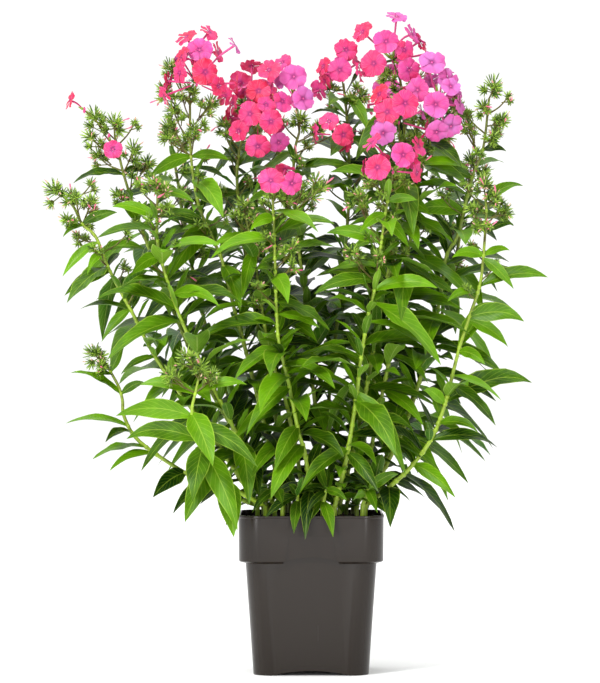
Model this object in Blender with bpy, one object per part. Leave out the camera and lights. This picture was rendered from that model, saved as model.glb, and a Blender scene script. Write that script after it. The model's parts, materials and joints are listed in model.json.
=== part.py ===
"""A garden phlox (Phlox paniculata) growing in a square nursery pot, at its real size.

Metres, +Z up, the viewer at -Y with +X to the right. The origin lies on the standing plane, under the middle
of the pot. Tables are in millimetres. The plant is drawn from the front: x and z of a point in a table are
where it shows on the plane through the pot's middle from VIEW_DISTANCE away, with z measured up from where
the pot's front edge shows, and depth is how far behind that plane it lies. Leaves, stems and bud heads of one
leafy stem are joined into one solid, and the flowers of a head are another.
"""

import math
import random
from collections import namedtuple

import bmesh
import bpy
from mathutils import Matrix, Vector
from mathutils.bvhtree import BVHTree
from mathutils.geometry import intersect_point_line

MM = 0.001
SEED = 11
PLANT = "phlox_in_pot"

# Where the plant is looked at from, for the tables' x and z, and how much lower the pot's front edge shows
# than the standing plane under its middle.
VIEW_X = -11.5
VIEW_Z = 351.0
VIEW_DISTANCE = 3900.0
EDGE_DROP = 5.4

# The pot: half widths of the square, and heights over the standing plane.
POT_HEIGHT = 166.0
FOOT_HALF = 60.0
BODY_TOP_HALF = 68.0
COLLAR_HALF = 74.8
RIM_HALF = 75.6
COLLAR_BOTTOM = 118.0
FLOOR_BOTTOM = 8.0
FLOOR_TOP = 10.0
WALL = 2.0
CORNER_RADIUS = 21.0
CORNER_STEPS = 4
SHOULDER = 145.0
STEP_HEIGHT = 2.0
LIP_HEIGHT = 3.0
FOOT_ARCH_WIDTH = 84.0
FOOT_ARCH_HEIGHT = 5.0
PANEL_TOP_WIDTH = 46.0
PANEL_BOTTOM_WIDTH = 54.0
PANEL_TOP = 144.5
PANEL_DEPTH = 3.0
PANEL_TOP_DEPTH = 0.4
PANEL_FOOT = 3.0
DRAIN_RADIUS = 5.0
DRAIN_AT = 36.0
MIDDLE_FOOT_RADIUS = 11.0
CUT_PAST = 5.0

# The soil, mounded in the middle, and the holes that the stems stand in.
SOIL_EDGE = 157.0
SOIL_MIDDLE = 168.0
SOIL_GAP = 0.3
HOLE_BOTTOM = 141.0
ROOT_BOTTOM = 141.3
HOLE_RADIUS = 4.1

# Stems, stalks and leaves.
STEM_FOOT_RADIUS = 2.5
STEM_TOP_RADIUS = 1.3
STALK_RADIUS = 0.9
SPAN_STEPS = 6
BLADE_THICKNESS = 0.8
LEAF_PROPORTION = 0.25
LEAF_ARCH = 0.17
WIDEST_LEAF = 25.0
LONG_LEAF = 84.0
SHORT_BLADE_ROWS = ((0.32, 0.97), (0.68, 0.76))
LONG_BLADE_ROWS = ((0.24, 0.86), (0.50, 1.0), (0.76, 0.62))
CLEARANCE = 1.0
ROOT_SHARE = 0.12

# Leaf pairs that grow by rule: how far apart they stand, how long a leaf is at the foot, how much longer half
# way up and shorter at the top, and the least height from a leaf of the tables. Where a leaf's own place is
# taken, it is held in other ways: shares of its size, shares of its length lower, degrees round the upright.
LEAF_SPACING = 88.0
FIRST_LENGTH = 52.0
MIDDLE_LENGTH = 34.0
LAST_LENGTH = -12.0
PAIR_ROOM = 9.0
SHRINKS = (1.0, 0.8)
DROPS = (0.0, 0.14, -0.14, 0.3, -0.28)
SWINGS = (0, 12, -12, 26, -26, 42, -42)

# Bud heads: pointed calyces drawn out of the faces of a small core.
CORE_SHARE = 0.42
LARGE_HEAD = 12.5
LOWEST_CALYX = -0.3

# Flowers: a flat five-lobed limb on a thin tube.
LOBES = 5
LOBE_HALF_ANGLE = 31.0
LIMB_RADIUS = 14.0
LIMB_THICKNESS = 0.8
LIMB_CUP = 0.06
TUBE_RADIUS = 1.2
BLOOM_CORE_RADIUS = 4.0
SEAT_GAP = 0.3

Leaf = namedtuple("Leaf", "root knee tip width face")
Head = namedtuple("Head", "foot centre radius axis")
Stalk = namedtuple("Stalk", "foot core")
Flower = namedtuple("Flower", "core centre normal radius")


def height_seen(z, depth):
    """The height in millimetres of a point that shows at z on the middle plane and lies depth behind it."""
    return VIEW_Z + (z - VIEW_Z) * (1 + depth / VIEW_DISTANCE) - EDGE_DROP


def seen(x, z, depth):
    """The place of a point that shows at x, z on the middle plane and lies at depth behind it."""
    return Vector((VIEW_X + (x - VIEW_X) * (1 + depth / VIEW_DISTANCE), depth, height_seen(z, depth))) * MM


# Each leafy stem: its path from the soil up as (x, z, depth), its bud heads as (height on the stem that the
# stalk leaves at, x, z, depth, radius), the leaves that give the plant its outline as (height on the stem,
# tip x, tip z, tip depth, width as it shows), the turn of its first leaf pair in degrees, and the heights
# between which further pairs grow by rule.
STEMS = {
    "stem_left_outer": dict(
        path=[(-56, 178, -22), (-80, 216, -24), (-117, 269, -26), (-161, 331, -26), (-188, 382, -24),
              (-212, 427, -22), (-226, 461, -20), (-240, 474, -20), (-249, 492, -20), (-260, 503, -20)],
        heads=[(503, -272, 512, -22, 13), (490, -252, 506, -32, 10), (474, -231, 500, -12, 11),
               (474, -259, 480, -30, 9), (455, -246, 462, -6, 8)],
        leaves=[(474, -203, 487, -20, 11), (472, -271, 461, -25, 6), (455, -261, 422, -30, 8),
                (445, -235, 424, -48, 9), (447, -173, 448, -8, 10), (425, -259, 402, -38, 14),
                (383, -243, 386, -8, 5), (385, -220, 351, -40, 9), (335, -200, 318, -40, 7)],
        turn=10, pairs=(205, 430)),
    "stem_left_tall": dict(
        path=[(-45, 178, 28), (-64, 227, 30), (-117, 321, 32), (-153, 405, 28), (-174, 459, 24),
              (-182, 480, 22), (-197, 528, 18), (-206, 568, 14)],
        heads=[(552, -229, 590, 10, 12), (568, -207, 584, 14, 12), (545, -234, 568, 2, 10),
               (530, -226, 548, 24, 10), (528, -186, 556, 8, 11), (510, -171, 541, 22, 11),
               (497, -206, 507, 6, 8)],
        leaves=[(526, -250, 520, 8, 9), (500, -218, 509, 0, 6), (528, -163, 529, 30, 8),
                (476, -214, 494, 10, 10)],
        turn=60, pairs=(225, 480)),
    "stem_left_front": dict(
        path=[(-38, 178, -20), (-80, 258, -36), (-127, 353, -46), (-148, 406, -50), (-161, 456, -50),
              (-161, 507, -50)],
        heads=[(507, -167, 521, -52, 12), (500, -152, 514, -58, 9), (482, -149, 494, -62, 8)],
        leaves=[(481, -209, 494, -60, 12), (481, -113, 481, -42, 9), (385, -226, 401, -66, 15),
                (508, -122, 499, -44, 9), (440, -190, 420, -95, 15), (400, -96, 392, -88, 15)],
        turn=35, pairs=(225, 470)),
    "stem_left_flower": dict(
        path=[(-29, 178, 2), (-45, 248, 2), (-66, 332, 0), (-81, 387, -2), (-92, 432, -5),
              (-103, 459, -6), (-118, 495, -6), (-126, 546, -5), (-127, 600, -2)],
        heads=[(585, -155, 617, 2, 12), (560, -146, 597, -10, 11), (575, -104, 604, 4, 11),
               (600, -149, 641, 0, 11), (545, -151, 578, 6, 11), (545, -122, 576, -20, 10),
               (590, -128, 618, -8, 10)],
        leaves=[(472, -148, 420, -40, 23), (470, -158, 484, -10, 12), (545, -171, 523, -24, 14),
                (510, -96, 492, -40, 17), (545, -85, 542, 8, 11)],
        turn=0, pairs=(225, 520)),
    "stem_centre_left": dict(
        path=[(-22, 178, 32), (-35, 260, 42), (-51, 342, 50), (-68, 437, 54), (-77, 507, 54),
              (-75, 552, 48), (-62, 580, 34)],
        heads=[(570, -70, 604, 40, 10), (552, -93, 582, 44, 10), (575, -38, 604, 36, 9),
               (560, -52, 560, 30, 9)],
        leaves=[(507, -112, 500, 50, 10), (507, -40, 515, 60, 9)],
        turn=80, pairs=(230, 540)),
    "stem_centre_short": dict(
        path=[(-8, 178, -22), (-13, 222, -22), (-27, 290, -20), (-42, 334, -18), (-52, 388, -16),
              (-59, 436, -14), (-68, 480, -14)],
        heads=[(480, -71, 497, -15, 12), (470, -60, 486, -26, 8)],
        leaves=[(445, -72, 400, -46, 15), (385, -113, 378, -40, 8), (460, -104, 452, -30, 9)],
        turn=50, pairs=(225, 440)),
    "stem_front_left": dict(
        path=[(1, 178, -50), (-6, 232, -54), (-13, 256, -56), (-24, 310, -58), (-33, 347, -60),
              (-36, 378, -60), (-38, 447, -60), (-40, 500, -60)],
        heads=[(500, -43, 509, -56, 8), (496, -24, 505, -62, 9), (465, 6, 519, -48, 13),
               (478, -10, 509, -44, 9), (427, -18, 452, -78, 10)],
        leaves=[(463, 25, 478, -74, 11), (458, -106, 441, -84, 13), (424, -57, 428, -92, 8),
                (420, -24, 394, -112, 18), (379, 9, 366, -80, 8), (345, -81, 312, -90, 11),
                (303, -68, 255, -98, 15), (262, -38, 216, -98, 18), (480, -64, 470, -90, 12)],
        turn=20, pairs=(210, 480)),
    "stem_centre_back": dict(
        path=[(12, 178, 22), (8, 251, 26), (0, 323, 30), (-6, 398, 32), (-16, 474, 32), (-18, 542, 30),
              (-12, 572, 28)],
        heads=[(572, -12, 588, 26, 11), (560, 10, 578, 22, 10)],
        leaves=[(495, 40, 516, 22, 11), (500, -60, 505, 30, 10)],
        turn=45, pairs=(230, 540)),
    "stem_centre_tall_back": dict(
        path=[(24, 178, 46), (20, 242, 56), (18, 280, 60), (30, 395, 68), (40, 500, 68), (38, 580, 66),
              (34, 622, 62)],
        heads=[(615, 16, 618, 60, 9), (600, 56, 610, 62, 10)],
        leaves=[(540, 78, 532, 60, 12), (500, 62, 490, 40, 12)],
        turn=15, pairs=(240, 600)),
    "stem_front_right": dict(
        path=[(25, 178, -50), (38, 232, -52), (48, 296, -54), (52, 330, -55), (60, 378, -56),
              (68, 413, -56), (77, 478, -56), (84, 518, -56)],
        heads=[(505, 58, 523, -60, 9), (515, 92, 528, -50, 9), (454, 46, 508, -64, 12),
               (413, 41, 448, -72, 10)],
        leaves=[(415, 3, 402, -80, 15), (380, 18, 398, -84, 8), (455, 16, 467, -64, 15),
                (485, 51, 467, -76, 11), (430, 16, 424, -58, 8), (333, -8, 339, -80, 10),
                (298, -27, 322, -74, 9), (238, -12, 196, -92, 15), (234, 71, 193, -88, 14),
                (297, 100, 214, -92, 19), (371, 125, 343, -76, 6), (405, 133, 410, -70, 14),
                (478, 103, 453, -84, 13), (498, 112, 500, -60, 10)],
        turn=65, pairs=(215, 490)),
    "stem_right_centre": dict(
        path=[(30, 178, -10), (45, 240, -8), (58, 300, -6), (72, 380, -4), (86, 450, -2), (94, 520, -4),
              (93, 560, -8)],
        heads=[(555, 70, 575, -4, 10), (550, 112, 568, 0, 10)],
        leaves=[(500, 126, 486, -22, 14), (460, 40, 447, -22, 12)],
        turn=30, pairs=(225, 530)),
    "stem_right_back": dict(
        path=[(37, 178, 22), (54, 240, 30), (65, 300, 36), (75, 380, 40), (89, 450, 42), (96, 520, 42),
              (98, 590, 38), (92, 636, 30)],
        heads=[(620, 74, 634, 26, 10), (600, 112, 628, 26, 10), (560, 120, 590, 50, 10)],
        leaves=[(520, 55, 516, 50, 10)],
        turn=75, pairs=(240, 600)),
    "stem_right_flower": dict(
        path=[(48, 178, 0), (57, 206, 2), (67, 258, 4), (79, 316, 6), (94, 395, 8), (106, 468, 8),
              (118, 545, 6), (126, 588, 2)],
        heads=[(580, 148, 590, -12, 9), (570, 146, 566, 0, 9), (545, 103, 553, 16, 9)],
        leaves=[(300, 118, 266, -30, 12), (420, 152, 402, -8, 12)],
        turn=5, pairs=(230, 560)),
    "stem_right_tall": dict(
        path=[(56, 178, 14), (82, 227, 20), (101, 270, 22), (123, 340, 22), (136, 399, 20),
              (142, 440, 18), (154, 462, 16), (162, 494, 14), (170, 526, 12), (181, 555, 10),
              (187, 606, 10)],
        heads=[(606, 192, 622, 10, 13), (590, 180, 599, 2, 10), (577, 203, 585, 8, 10),
               (560, 192, 567, -4, 9), (545, 152, 598, 28, 12), (545, 164, 580, 16, 9)],
        leaves=[(523, 123, 531, 5, 13), (552, 206, 552, 8, 8), (487, 107, 488, -8, 18),
                (412, 232, 420, 20, 9), (535, 208, 540, 30, 7)],
        turn=40, pairs=(235, 500)),
    "stem_right_outer": dict(
        path=[(57, 178, -20), (90, 205, -26), (108, 223, -28), (127, 250, -30), (140, 283, -30),
              (155, 341, -30), (166, 376, -28), (177, 409, -28), (181, 440, -28), (184, 486, -28),
              (183, 505, -28)],
        heads=[(505, 181, 519, -30, 12), (496, 195, 504, -38, 9), (486, 167, 492, -34, 9),
               (480, 206, 489, -24, 9), (470, 173, 473, -42, 8)],
        leaves=[(377, 224, 376, -40, 20), (374, 207, 347, -16, 14), (344, 220, 397, -22, 9),
                (341, 183, 328, -56, 12), (315, 200, 290, -50, 6), (289, 233, 314, -42, 21),
                (265, 176, 258, -60, 11), (248, 196, 244, -40, 14), (222, 152, 189, -54, 15),
                (285, 118, 302, -56, 12), (500, 223, 517, -14, 10), (488, 225, 491, -12, 6),
                (466, 213, 476, -20, 8), (441, 148, 442, -46, 12), (441, 209, 449, -14, 8),
                (438, 213, 406, -50, 12), (408, 249, 421, -34, 13), (402, 143, 395, -56, 8)],
        turn=55, pairs=(215, 300)),
    "shoot_front_left": dict(
        path=[(-48, 178, -48), (-80, 197, -64), (-106, 227, -84), (-122, 258, -98), (-125, 279, -104),
              (-122, 294, -106), (-118, 312, -108)],
        heads=[(312, -132, 338, -110, 12), (312, -115, 326, -116, 10), (297, -150, 318, -112, 10),
               (297, -102, 318, -106, 9)],
        leaves=[(296, -181, 307, -112, 12), (296, -67, 308, -104, 9), (272, -205, 275, -118, 21),
                (248, -194, 254, -112, 20), (275, -103, 220, -150, 25), (240, -124, 186, -140, 25),
                (262, -56, 225, -116, 18), (234, -77, 159, -122, 27), (222, -122, 162, -132, 26),
                (205, -81, 147, -102, 25)],
        turn=0, pairs=None),
    "shoot_left": dict(
        path=[(-56, 178, 6), (-98, 197, 0), (-132, 213, -4), (-180, 246, -8), (-196, 272, -10),
              (-198, 290, -10), (-203, 306, -10), (-217, 330, -10)],
        heads=[(330, -230, 341, -10, 12), (322, -222, 328, -24, 8)],
        leaves=[(296, -253, 320, -20, 8), (296, -174, 309, -14, 9), (319, -196, 347, -10, 10),
                (316, -232, 315, -24, 6), (262, -258, 265, -26, 8), (240, -234, 229, -24, 6),
                (255, -216, 248, -50, 8), (232, -212, 217, -44, 8), (213, -166, 188, -40, 19),
                (200, -145, 172, -44, 14)],
        turn=0, pairs=None),
    "stem_back_left": dict(
        path=[(-50, 178, 48), (-66, 240, 72), (-100, 330, 96), (-125, 430, 110), (-140, 520, 116),
              (-146, 556, 116)],
        heads=[(556, -150, 572, 116, 12), (545, -130, 566, 122, 10)],
        leaves=[], turn=25, pairs=(235, 530)),
    "stem_back_middle": dict(
        path=[(-26, 178, 58), (-32, 260, 94), (-45, 360, 120), (-55, 460, 130), (-60, 560, 132),
              (-62, 585, 132)],
        heads=[(585, -74, 602, 128, 9), (575, -48, 596, 136, 9)],
        leaves=[], turn=60, pairs=(240, 560)),
    "stem_back_right": dict(
        path=[(44, 178, 56), (58, 260, 88), (72, 360, 112), (82, 460, 122), (86, 550, 124),
              (88, 580, 124)],
        heads=[(580, 74, 598, 126, 9), (570, 102, 592, 120, 9)],
        leaves=[], turn=20, pairs=(240, 560)),
    "stem_back_far_right": dict(
        path=[(55, 178, 42), (84, 240, 64), (122, 330, 88), (148, 420, 100), (163, 500, 104),
              (168, 528, 104)],
        heads=[(528, 168, 544, 104, 12), (515, 184, 532, 100, 9)],
        leaves=[], turn=70, pairs=(230, 500)),
    "low_shoot_rim": dict(
        path=[(-14, 178, -57), (-14, 190, -62)],
        heads=[], leaves=[(184, -18, 150, -95, 10), (189, -48, 166, -86, 9), (189, -24, 202, -80, 8)],
        turn=0, pairs=None),
    "low_shoot_front": dict(
        path=[(12, 178, -58), (16, 196, -63)],
        heads=[], leaves=[(183, 31, 147, -94, 8), (183, 7, 157, -93, 7), (193, -5, 172, -86, 7),
                          (195, 38, 184, -86, 9)],
        turn=0, pairs=None),
    "low_shoot_right": dict(
        path=[(54, 178, -48), (60, 196, -53)],
        heads=[], leaves=[(195, 70, 172, -88, 11), (195, 92, 214, -60, 12), (190, 44, 186, -84, 9)],
        turn=0, pairs=None),
    "low_shoot_left": dict(
        path=[(-30, 178, -56), (-36, 196, -60)],
        heads=[], leaves=[(195, -62, 172, -88, 9), (195, -30, 180, -88, 11), (192, -8, 202, -66, 9)],
        turn=0, pairs=None),
}

# The open flowers of each head: the stem and the height on it that their stalk leaves at, the core that their
# tubes meet in as (x, z, depth), and the flowers as (x, z, depth, turn to the right and lift of the face in
# degrees, size).
BLOOMS = {
    "bloom_left": dict(on=("stem_left_flower", 598), core=(-120, 622, -20), flowers=[
        (-111, 634, -40, 10, 0, 1.05), (-117, 657, -24, 0, 15, 1.0), (-131, 671, -12, -35, 50, 0.9),
        (-107, 676, -8, 50, 45, 0.85), (-136, 650, -30, -65, 20, 0.85), (-138, 633, -36, -50, -5, 0.85),
        (-98, 655, -4, 70, 10, 0.85), (-80, 662, -14, 80, 35, 0.8)]),
    "bloom_left_low": dict(on=("stem_left_tall", 540), core=(-212, 566, -4), flowers=[
        (-208, 553, -22, 15, -10, 0.75)]),
    "bloom_left_side": dict(on=("stem_left_tall", 562), core=(-238, 594, -6), flowers=[
        (-253, 604, -14, -70, 20, 0.75)]),
    "bloom_centre_left": dict(on=("stem_centre_left", 576), core=(-56, 584, 14), flowers=[
        (-64, 590, -14, -15, 5, 1.0), (-42, 582, -22, 10, -5, 0.95), (-56, 556, -20, 0, -15, 1.0),
        (-55, 614, -6, -5, 20, 1.0), (-76, 572, -8, -30, -5, 0.9), (-82, 600, 4, -60, 10, 0.8),
        (-34, 560, -12, 25, -20, 0.9), (-44, 636, 0, -10, 35, 0.95), (-30, 603, -6, 30, 10, 0.85)]),
    "bloom_centre": dict(on=("stem_centre_back", 570), core=(-16, 604, 38), flowers=[
        (-18, 629, 10, 0, 10, 1.1), (-8, 606, 4, 20, -5, 0.95), (-30, 644, 30, -40, 35, 0.85)]),
    "bloom_pair": dict(on=("stem_front_left", 498), core=(-34, 516, -70), flowers=[
        (-42, 520, -88, -10, 0, 1.0), (-20, 517, -84, 25, -10, 0.95)]),
    "bloom_centre_back": dict(on=("stem_centre_tall_back", 605), core=(32, 632, 60), flowers=[
        (37, 657, 40, 10, 20, 0.95), (30, 636, 34, -15, -5, 1.0), (13, 640, 44, -50, 15, 0.8)]),
    "bloom_centre_low": dict(on=("stem_centre_back", 548), core=(24, 568, 10), flowers=[
        (19, 582, -8, -20, 20, 0.8), (34, 568, -10, 15, -5, 0.9)]),
    "bloom_right_top": dict(on=("stem_right_back", 625), core=(86, 646, 8), flowers=[
        (54, 676, -4, -45, 30, 0.9), (90, 692, 0, 10, 60, 0.85), (79, 666, -24, 0, 15, 1.0),
        (106, 674, 0, 60, 25, 0.8), (66, 643, -22, -15, -5, 1.05), (98, 657, -20, 30, 10, 0.85),
        (103, 636, -22, 20, -10, 0.95)]),
    "bloom_right_side": dict(on=("stem_right_flower", 582), core=(134, 606, -16), flowers=[
        (127, 644, -26, 10, 25, 1.1), (144, 626, -24, 35, 10, 0.95), (112, 615, -40, -15, 5, 0.95),
        (131, 600, -44, 5, 0, 1.05), (147, 577, -34, 30, -20, 1.0), (132, 571, -40, 5, -35, 0.95),
        (156, 600, -14, 70, 5, 0.85)]),
    "bloom_right_middle": dict(on=("stem_right_centre", 552), core=(92, 582, -28), flowers=[
        (99, 601, -56, 5, 10, 1.1), (80, 592, -50, -20, 5, 1.05), (76, 570, -48, -15, -15, 1.0),
        (72, 611, -40, -50, 20, 0.9)]),
    "bloom_front_right": dict(on=("stem_front_right", 510), core=(86, 530, -68), flowers=[
        (70, 534, -90, -5, 0, 1.0), (97, 547, -88, 10, 10, 1.0), (64, 560, -76, -60, 40, 0.85),
        (113, 556, -72, 60, 20, 0.85)]),
    "bloom_back_left": dict(on=("stem_back_middle", 582), core=(-62, 608, 146), flowers=[
        (-74, 622, 166, 165, 20, 1.0), (-50, 614, 168, 195, 0, 1.0), (-62, 640, 150, 180, 60, 0.95)]),
    "bloom_back_right": dict(on=("stem_back_right", 578), core=(88, 604, 140), flowers=[
        (76, 616, 162, 165, 15, 1.0), (101, 608, 162, 195, 0, 1.0), (88, 636, 144, 180, 60, 0.95)]),
}


def smooth_path(corners, steps):
    """Points along a smooth curve through corners (Catmull-Rom), steps of them for each stretch."""
    ends = [2 * corners[0] - corners[1], *corners, 2 * corners[-1] - corners[-2]]
    points = []
    for a, b, c, d in zip(ends, ends[1:], ends[2:], ends[3:]):
        for step in range(steps):
            t = step / steps
            bend = (2 * a - 5 * b + 4 * c - d) * t * t + (3 * b - a - 3 * c + d) * t * t * t
            points.append((2 * b + (c - a) * t + bend) / 2)
    return [*points, corners[-1]]


class Stem:
    """The centre line of a leafy stem, in metres, from its foot in the soil to its top."""

    def __init__(self, table):
        shown = [seen(*point) for point in table["path"]]
        root = Vector((shown[0].x, shown[0].y, ROOT_BOTTOM * MM))
        self.corners = [root, *shown]
        self.line = [root, *smooth_path(shown, SPAN_STEPS)]

    def radius(self, share):
        return (STEM_FOOT_RADIUS + (STEM_TOP_RADIUS - STEM_FOOT_RADIUS) * share) * MM

    def at(self, z):
        """The point of the line that shows at height z, and the line's direction there."""
        for low, high in zip(self.line[1:], self.line[2:]):
            height = height_seen(z, high.y / MM) * MM
            if high.z >= height:
                share = min(max((height - low.z) / (high.z - low.z), 0), 1)
                return low.lerp(high, share), (high - low).normalized()
        return self.line[-1].copy(), (self.line[-1] - self.line[-2]).normalized()


def shown_leaf(stem, z, tip_x, tip_z, tip_depth, shown_width):
    """A leaf from height z on its stem to a given tip, turned so that it shows as wide as it is said to."""
    root, _ = stem.at(z)
    tip = seen(tip_x, tip_z, tip_depth)
    reach = tip - root
    length = reach.length
    width = min(max(shown_width * MM, LEAF_PROPORTION * length), WIDEST_LEAF * MM)
    knee = (root + tip) / 2 + Vector((0, 0, LEAF_ARCH * math.hypot(reach.x, reach.y) + 0.02 * length))
    tilt = math.asin(min(shown_width * MM / width, 1.0))
    face = Vector((0, -math.sin(tilt), math.cos(tilt)))
    return Leaf(root, knee, tip, width, face)


def grown_leaf(root, along, azimuth, lift, length):
    """A leaf that leaves its stem at an azimuth and a lift, and arches over."""
    out = Vector((math.cos(azimuth), math.sin(azimuth), 0))
    out = (out - along * out.dot(along)).normalized()
    rise = Vector((0, 0, 1))
    tip = root + out * length * math.cos(lift) + rise * length * math.sin(lift)
    knee = root + out * length * 0.45 + rise * length * (0.5 * math.sin(lift) + LEAF_ARCH)
    face = Vector((0, -0.45, 1)).normalized()
    return Leaf(root, knee, tip, LEAF_PROPORTION * length, face)


def leaf_frame(leaf, t):
    """The midrib's point at t, the leaf's side direction and its upper normal there."""
    point = leaf.root * (1 - t) ** 2 + leaf.knee * 2 * t * (1 - t) + leaf.tip * t * t
    along = ((leaf.knee - leaf.root) * (1 - t) + (leaf.tip - leaf.knee) * t).normalized()
    side = along.cross(leaf.face)
    if side.length < 0.15:
        side = along.cross(leaf.face + Vector((0, -0.6, 0)))
    side.normalize()
    return point, side, side.cross(along)


def blade_mesh(leaf, start=0.0, thickness=BLADE_THICKNESS):
    """A leaf blade as a bmesh: an arched strip, split alike on both faces, and thickened."""
    bm = bmesh.new()
    point, _, _ = leaf_frame(leaf, start)
    near = [bm.verts.new(point)]
    rows = LONG_BLADE_ROWS if (leaf.tip - leaf.root).length > LONG_LEAF * MM else SHORT_BLADE_ROWS
    for t, share in rows:
        point, side, _ = leaf_frame(leaf, t)
        half = side * leaf.width * share / 2
        left, right = bm.verts.new(point - half), bm.verts.new(point + half)
        bm.faces.new((near[-1], right, left))
        if len(near) == 2:
            bm.faces.new((near[0], near[1], left))
        near = [left, right]
    bm.faces.new((*near, bm.verts.new(leaf.tip)))
    bm.normal_update()
    for vert in bm.verts:
        vert.co += vert.normal * thickness * MM / 2
    bmesh.ops.solidify(bm, geom=bm.faces[:], thickness=thickness * MM)
    bmesh.ops.recalc_face_normals(bm, faces=bm.faces[:])
    return bm


def square_tube(points, radii):
    """Corners and faces of a square tube along points, for telling whether a leaf would cross it."""
    corners = []
    faces = []
    for i, (point, radius) in enumerate(zip(points, radii)):
        along = (points[min(i + 1, len(points) - 1)] - points[max(i - 1, 0)]).normalized()
        side = along.cross(Vector((0.3, 1, 0.2))).normalized()
        other = along.cross(side)
        corners += [point + (side * a + other * b) * radius for a, b in ((1, 1), (-1, 1), (-1, -1), (1, -1))]
    for ring in range(len(points) - 1):
        for k in range(4):
            low, high = 4 * ring, 4 * ring + 4
            faces.append((low + k, low + (k + 1) % 4, high + (k + 1) % 4, high + k))
    return corners, faces


def box_round(centre, half):
    """Corners and faces of an upright box, for telling whether a leaf would cross what is inside."""
    corners = [centre + Vector((half.x * a, half.y * b, half.z * c))
               for c in (-1, 1) for a, b in ((-1, -1), (1, -1), (1, 1), (-1, 1))]
    faces = [(0, 1, 2, 3), (4, 5, 6, 7)] + [(k, (k + 1) % 4, 4 + (k + 1) % 4, 4 + k) for k in range(4)]
    return corners, faces


class Crowd:
    """What has grown so far, to keep each new leaf clear of it."""

    def __init__(self):
        self.members = []

    def add_shape(self, owner, corners, faces):
        tree = BVHTree.FromPolygons(corners, faces)
        self.members.append((owner, tree, tree, *reach_of(corners)))

    def add_leaf(self, owner, whole, free):
        """Adds a blade unless it crosses another node's piece, or its free part one of its own node's."""
        low, high = reach_of([vert.co for vert in whole.verts])
        whole_tree = BVHTree.FromBMesh(whole)
        free_tree = BVHTree.FromBMesh(free)
        for other, other_whole, other_free, other_low, other_high in self.members:
            if any(low[k] > other_high[k] or high[k] < other_low[k] for k in range(3)):
                continue
            if free_tree.overlap(other_free) if other == owner else whole_tree.overlap(other_whole):
                return False
        self.members.append((owner, whole_tree, free_tree, low, high))
        return True


def reach_of(points):
    """The lowest and the highest corner of the box round some points."""
    low, high = (Vector([pick(p[k] for p in points) for k in range(3)]) for pick in (min, max))
    return low, high


def facing(turn, lift):
    """The direction that a flower looks in: at the viewer for 0, 0, turned to the right and lifted."""
    turn = math.radians(turn)
    lift = math.radians(lift)
    return Vector((math.sin(turn) * math.cos(lift), -math.cos(turn) * math.cos(lift), math.sin(lift)))


def plan_plant(crowd):
    """Where everything grows: each stem's line, heads and leaves, and each bloom's stalk and flowers."""
    pot_middle = Vector((0, 0, POT_HEIGHT / 2)) * MM
    wide = RIM_HALF + CLEARANCE
    crowd.add_shape("pot", *box_round(pot_middle, Vector((wide, wide, POT_HEIGHT / 2 + 0.5)) * MM))
    stems = {name: Stem(table) for name, table in STEMS.items()}
    heads = {}
    for name, stem in stems.items():
        radii = [stem.radius(i / len(stem.corners)) + CLEARANCE * MM for i in range(len(stem.corners))]
        crowd.add_shape(name, *square_tube(stem.corners, radii))
        heads[name] = []
        for z, x, head_z, depth, radius in STEMS[name]["heads"]:
            foot, along = stem.at(z)
            centre = seen(x, head_z, depth)
            axis = (centre - foot + Vector((0, 0, 0.3)) * (centre - foot).length).normalized()
            heads[name].append(Head(foot, centre, radius * MM, axis))
            crowd.add_shape(name, *square_tube([foot, centre], [(STALK_RADIUS + CLEARANCE) * MM] * 2))
            tuft = Vector((0.8, 0.8, 0.8)) * radius * MM
            crowd.add_shape(name, *box_round(centre + axis * radius * 0.3 * MM, tuft))
    blooms = {}
    stalks = {}
    for name, table in BLOOMS.items():
        core = seen(*table["core"])
        carrier, z = table["on"]
        stalks[name] = Stalk(nearest(stems[carrier].corners, stems[carrier].at(z)[0]), core)
        crowd.add_shape(carrier, *square_tube(stalks[name], [(STALK_RADIUS + CLEARANCE) * MM] * 2))
        blooms[name] = []
        for x, z, depth, turn, lift, size in table["flowers"]:
            flower = Flower(core, seen(x, z, depth), facing(turn, lift), size * LIMB_RADIUS * MM)
            blooms[name].append(flower)
            crowd.add_shape(name, *square_tube([core, flower.centre], [(TUBE_RADIUS + CLEARANCE) * MM] * 2))
            ends = [flower.centre + flower.normal * side * MM for side in (-2, 2)]
            corners, faces = square_tube(ends, [flower.radius * 0.85] * 2)
            crowd.add_shape(name, corners, [*faces, (0, 1, 2, 3), (4, 5, 6, 7)])
    leaves = {name: [] for name in stems}
    for name, stem in stems.items():
        for entry in STEMS[name]["leaves"]:
            add_leaf(crowd, leaves[name], name, stem, shown_leaf(stem, *entry))
    draw = random.Random(SEED)
    for name, stem in stems.items():
        if STEMS[name]["pairs"]:
            grow_pairs(crowd, leaves[name], name, stem, draw)
    return stems, heads, leaves, stalks, blooms


def nearest(corners, point):
    """The point nearest to a given one on the straight stretches between corners."""
    found = []
    for low, high in zip(corners, corners[1:]):
        _, share = intersect_point_line(point, low, high)
        found.append(low.lerp(high, min(max(share, 0), 1)))
    return min(found, key=lambda place: (place - point).length)


def sunk(leaf, stem):
    """The leaf with its root on the straight-sided stem, whose middle line runs from corner to corner."""
    return leaf._replace(root=nearest(stem.corners, leaf.root))


def turned(leaf, swing, drop, shrink):
    """The leaf swung round the upright by an angle, its tip lowered by a share of its length, and shrunk."""
    turn = Matrix.Rotation(swing, 3, "Z")
    length = (leaf.tip - leaf.root).length
    knee = leaf.root + (turn @ (leaf.knee - leaf.root)) * shrink - Vector((0, 0, drop * length * 0.3))
    tip = leaf.root + (turn @ (leaf.tip - leaf.root)) * shrink - Vector((0, 0, drop * length))
    return Leaf(leaf.root, knee, tip, leaf.width * shrink, leaf.face)


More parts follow.
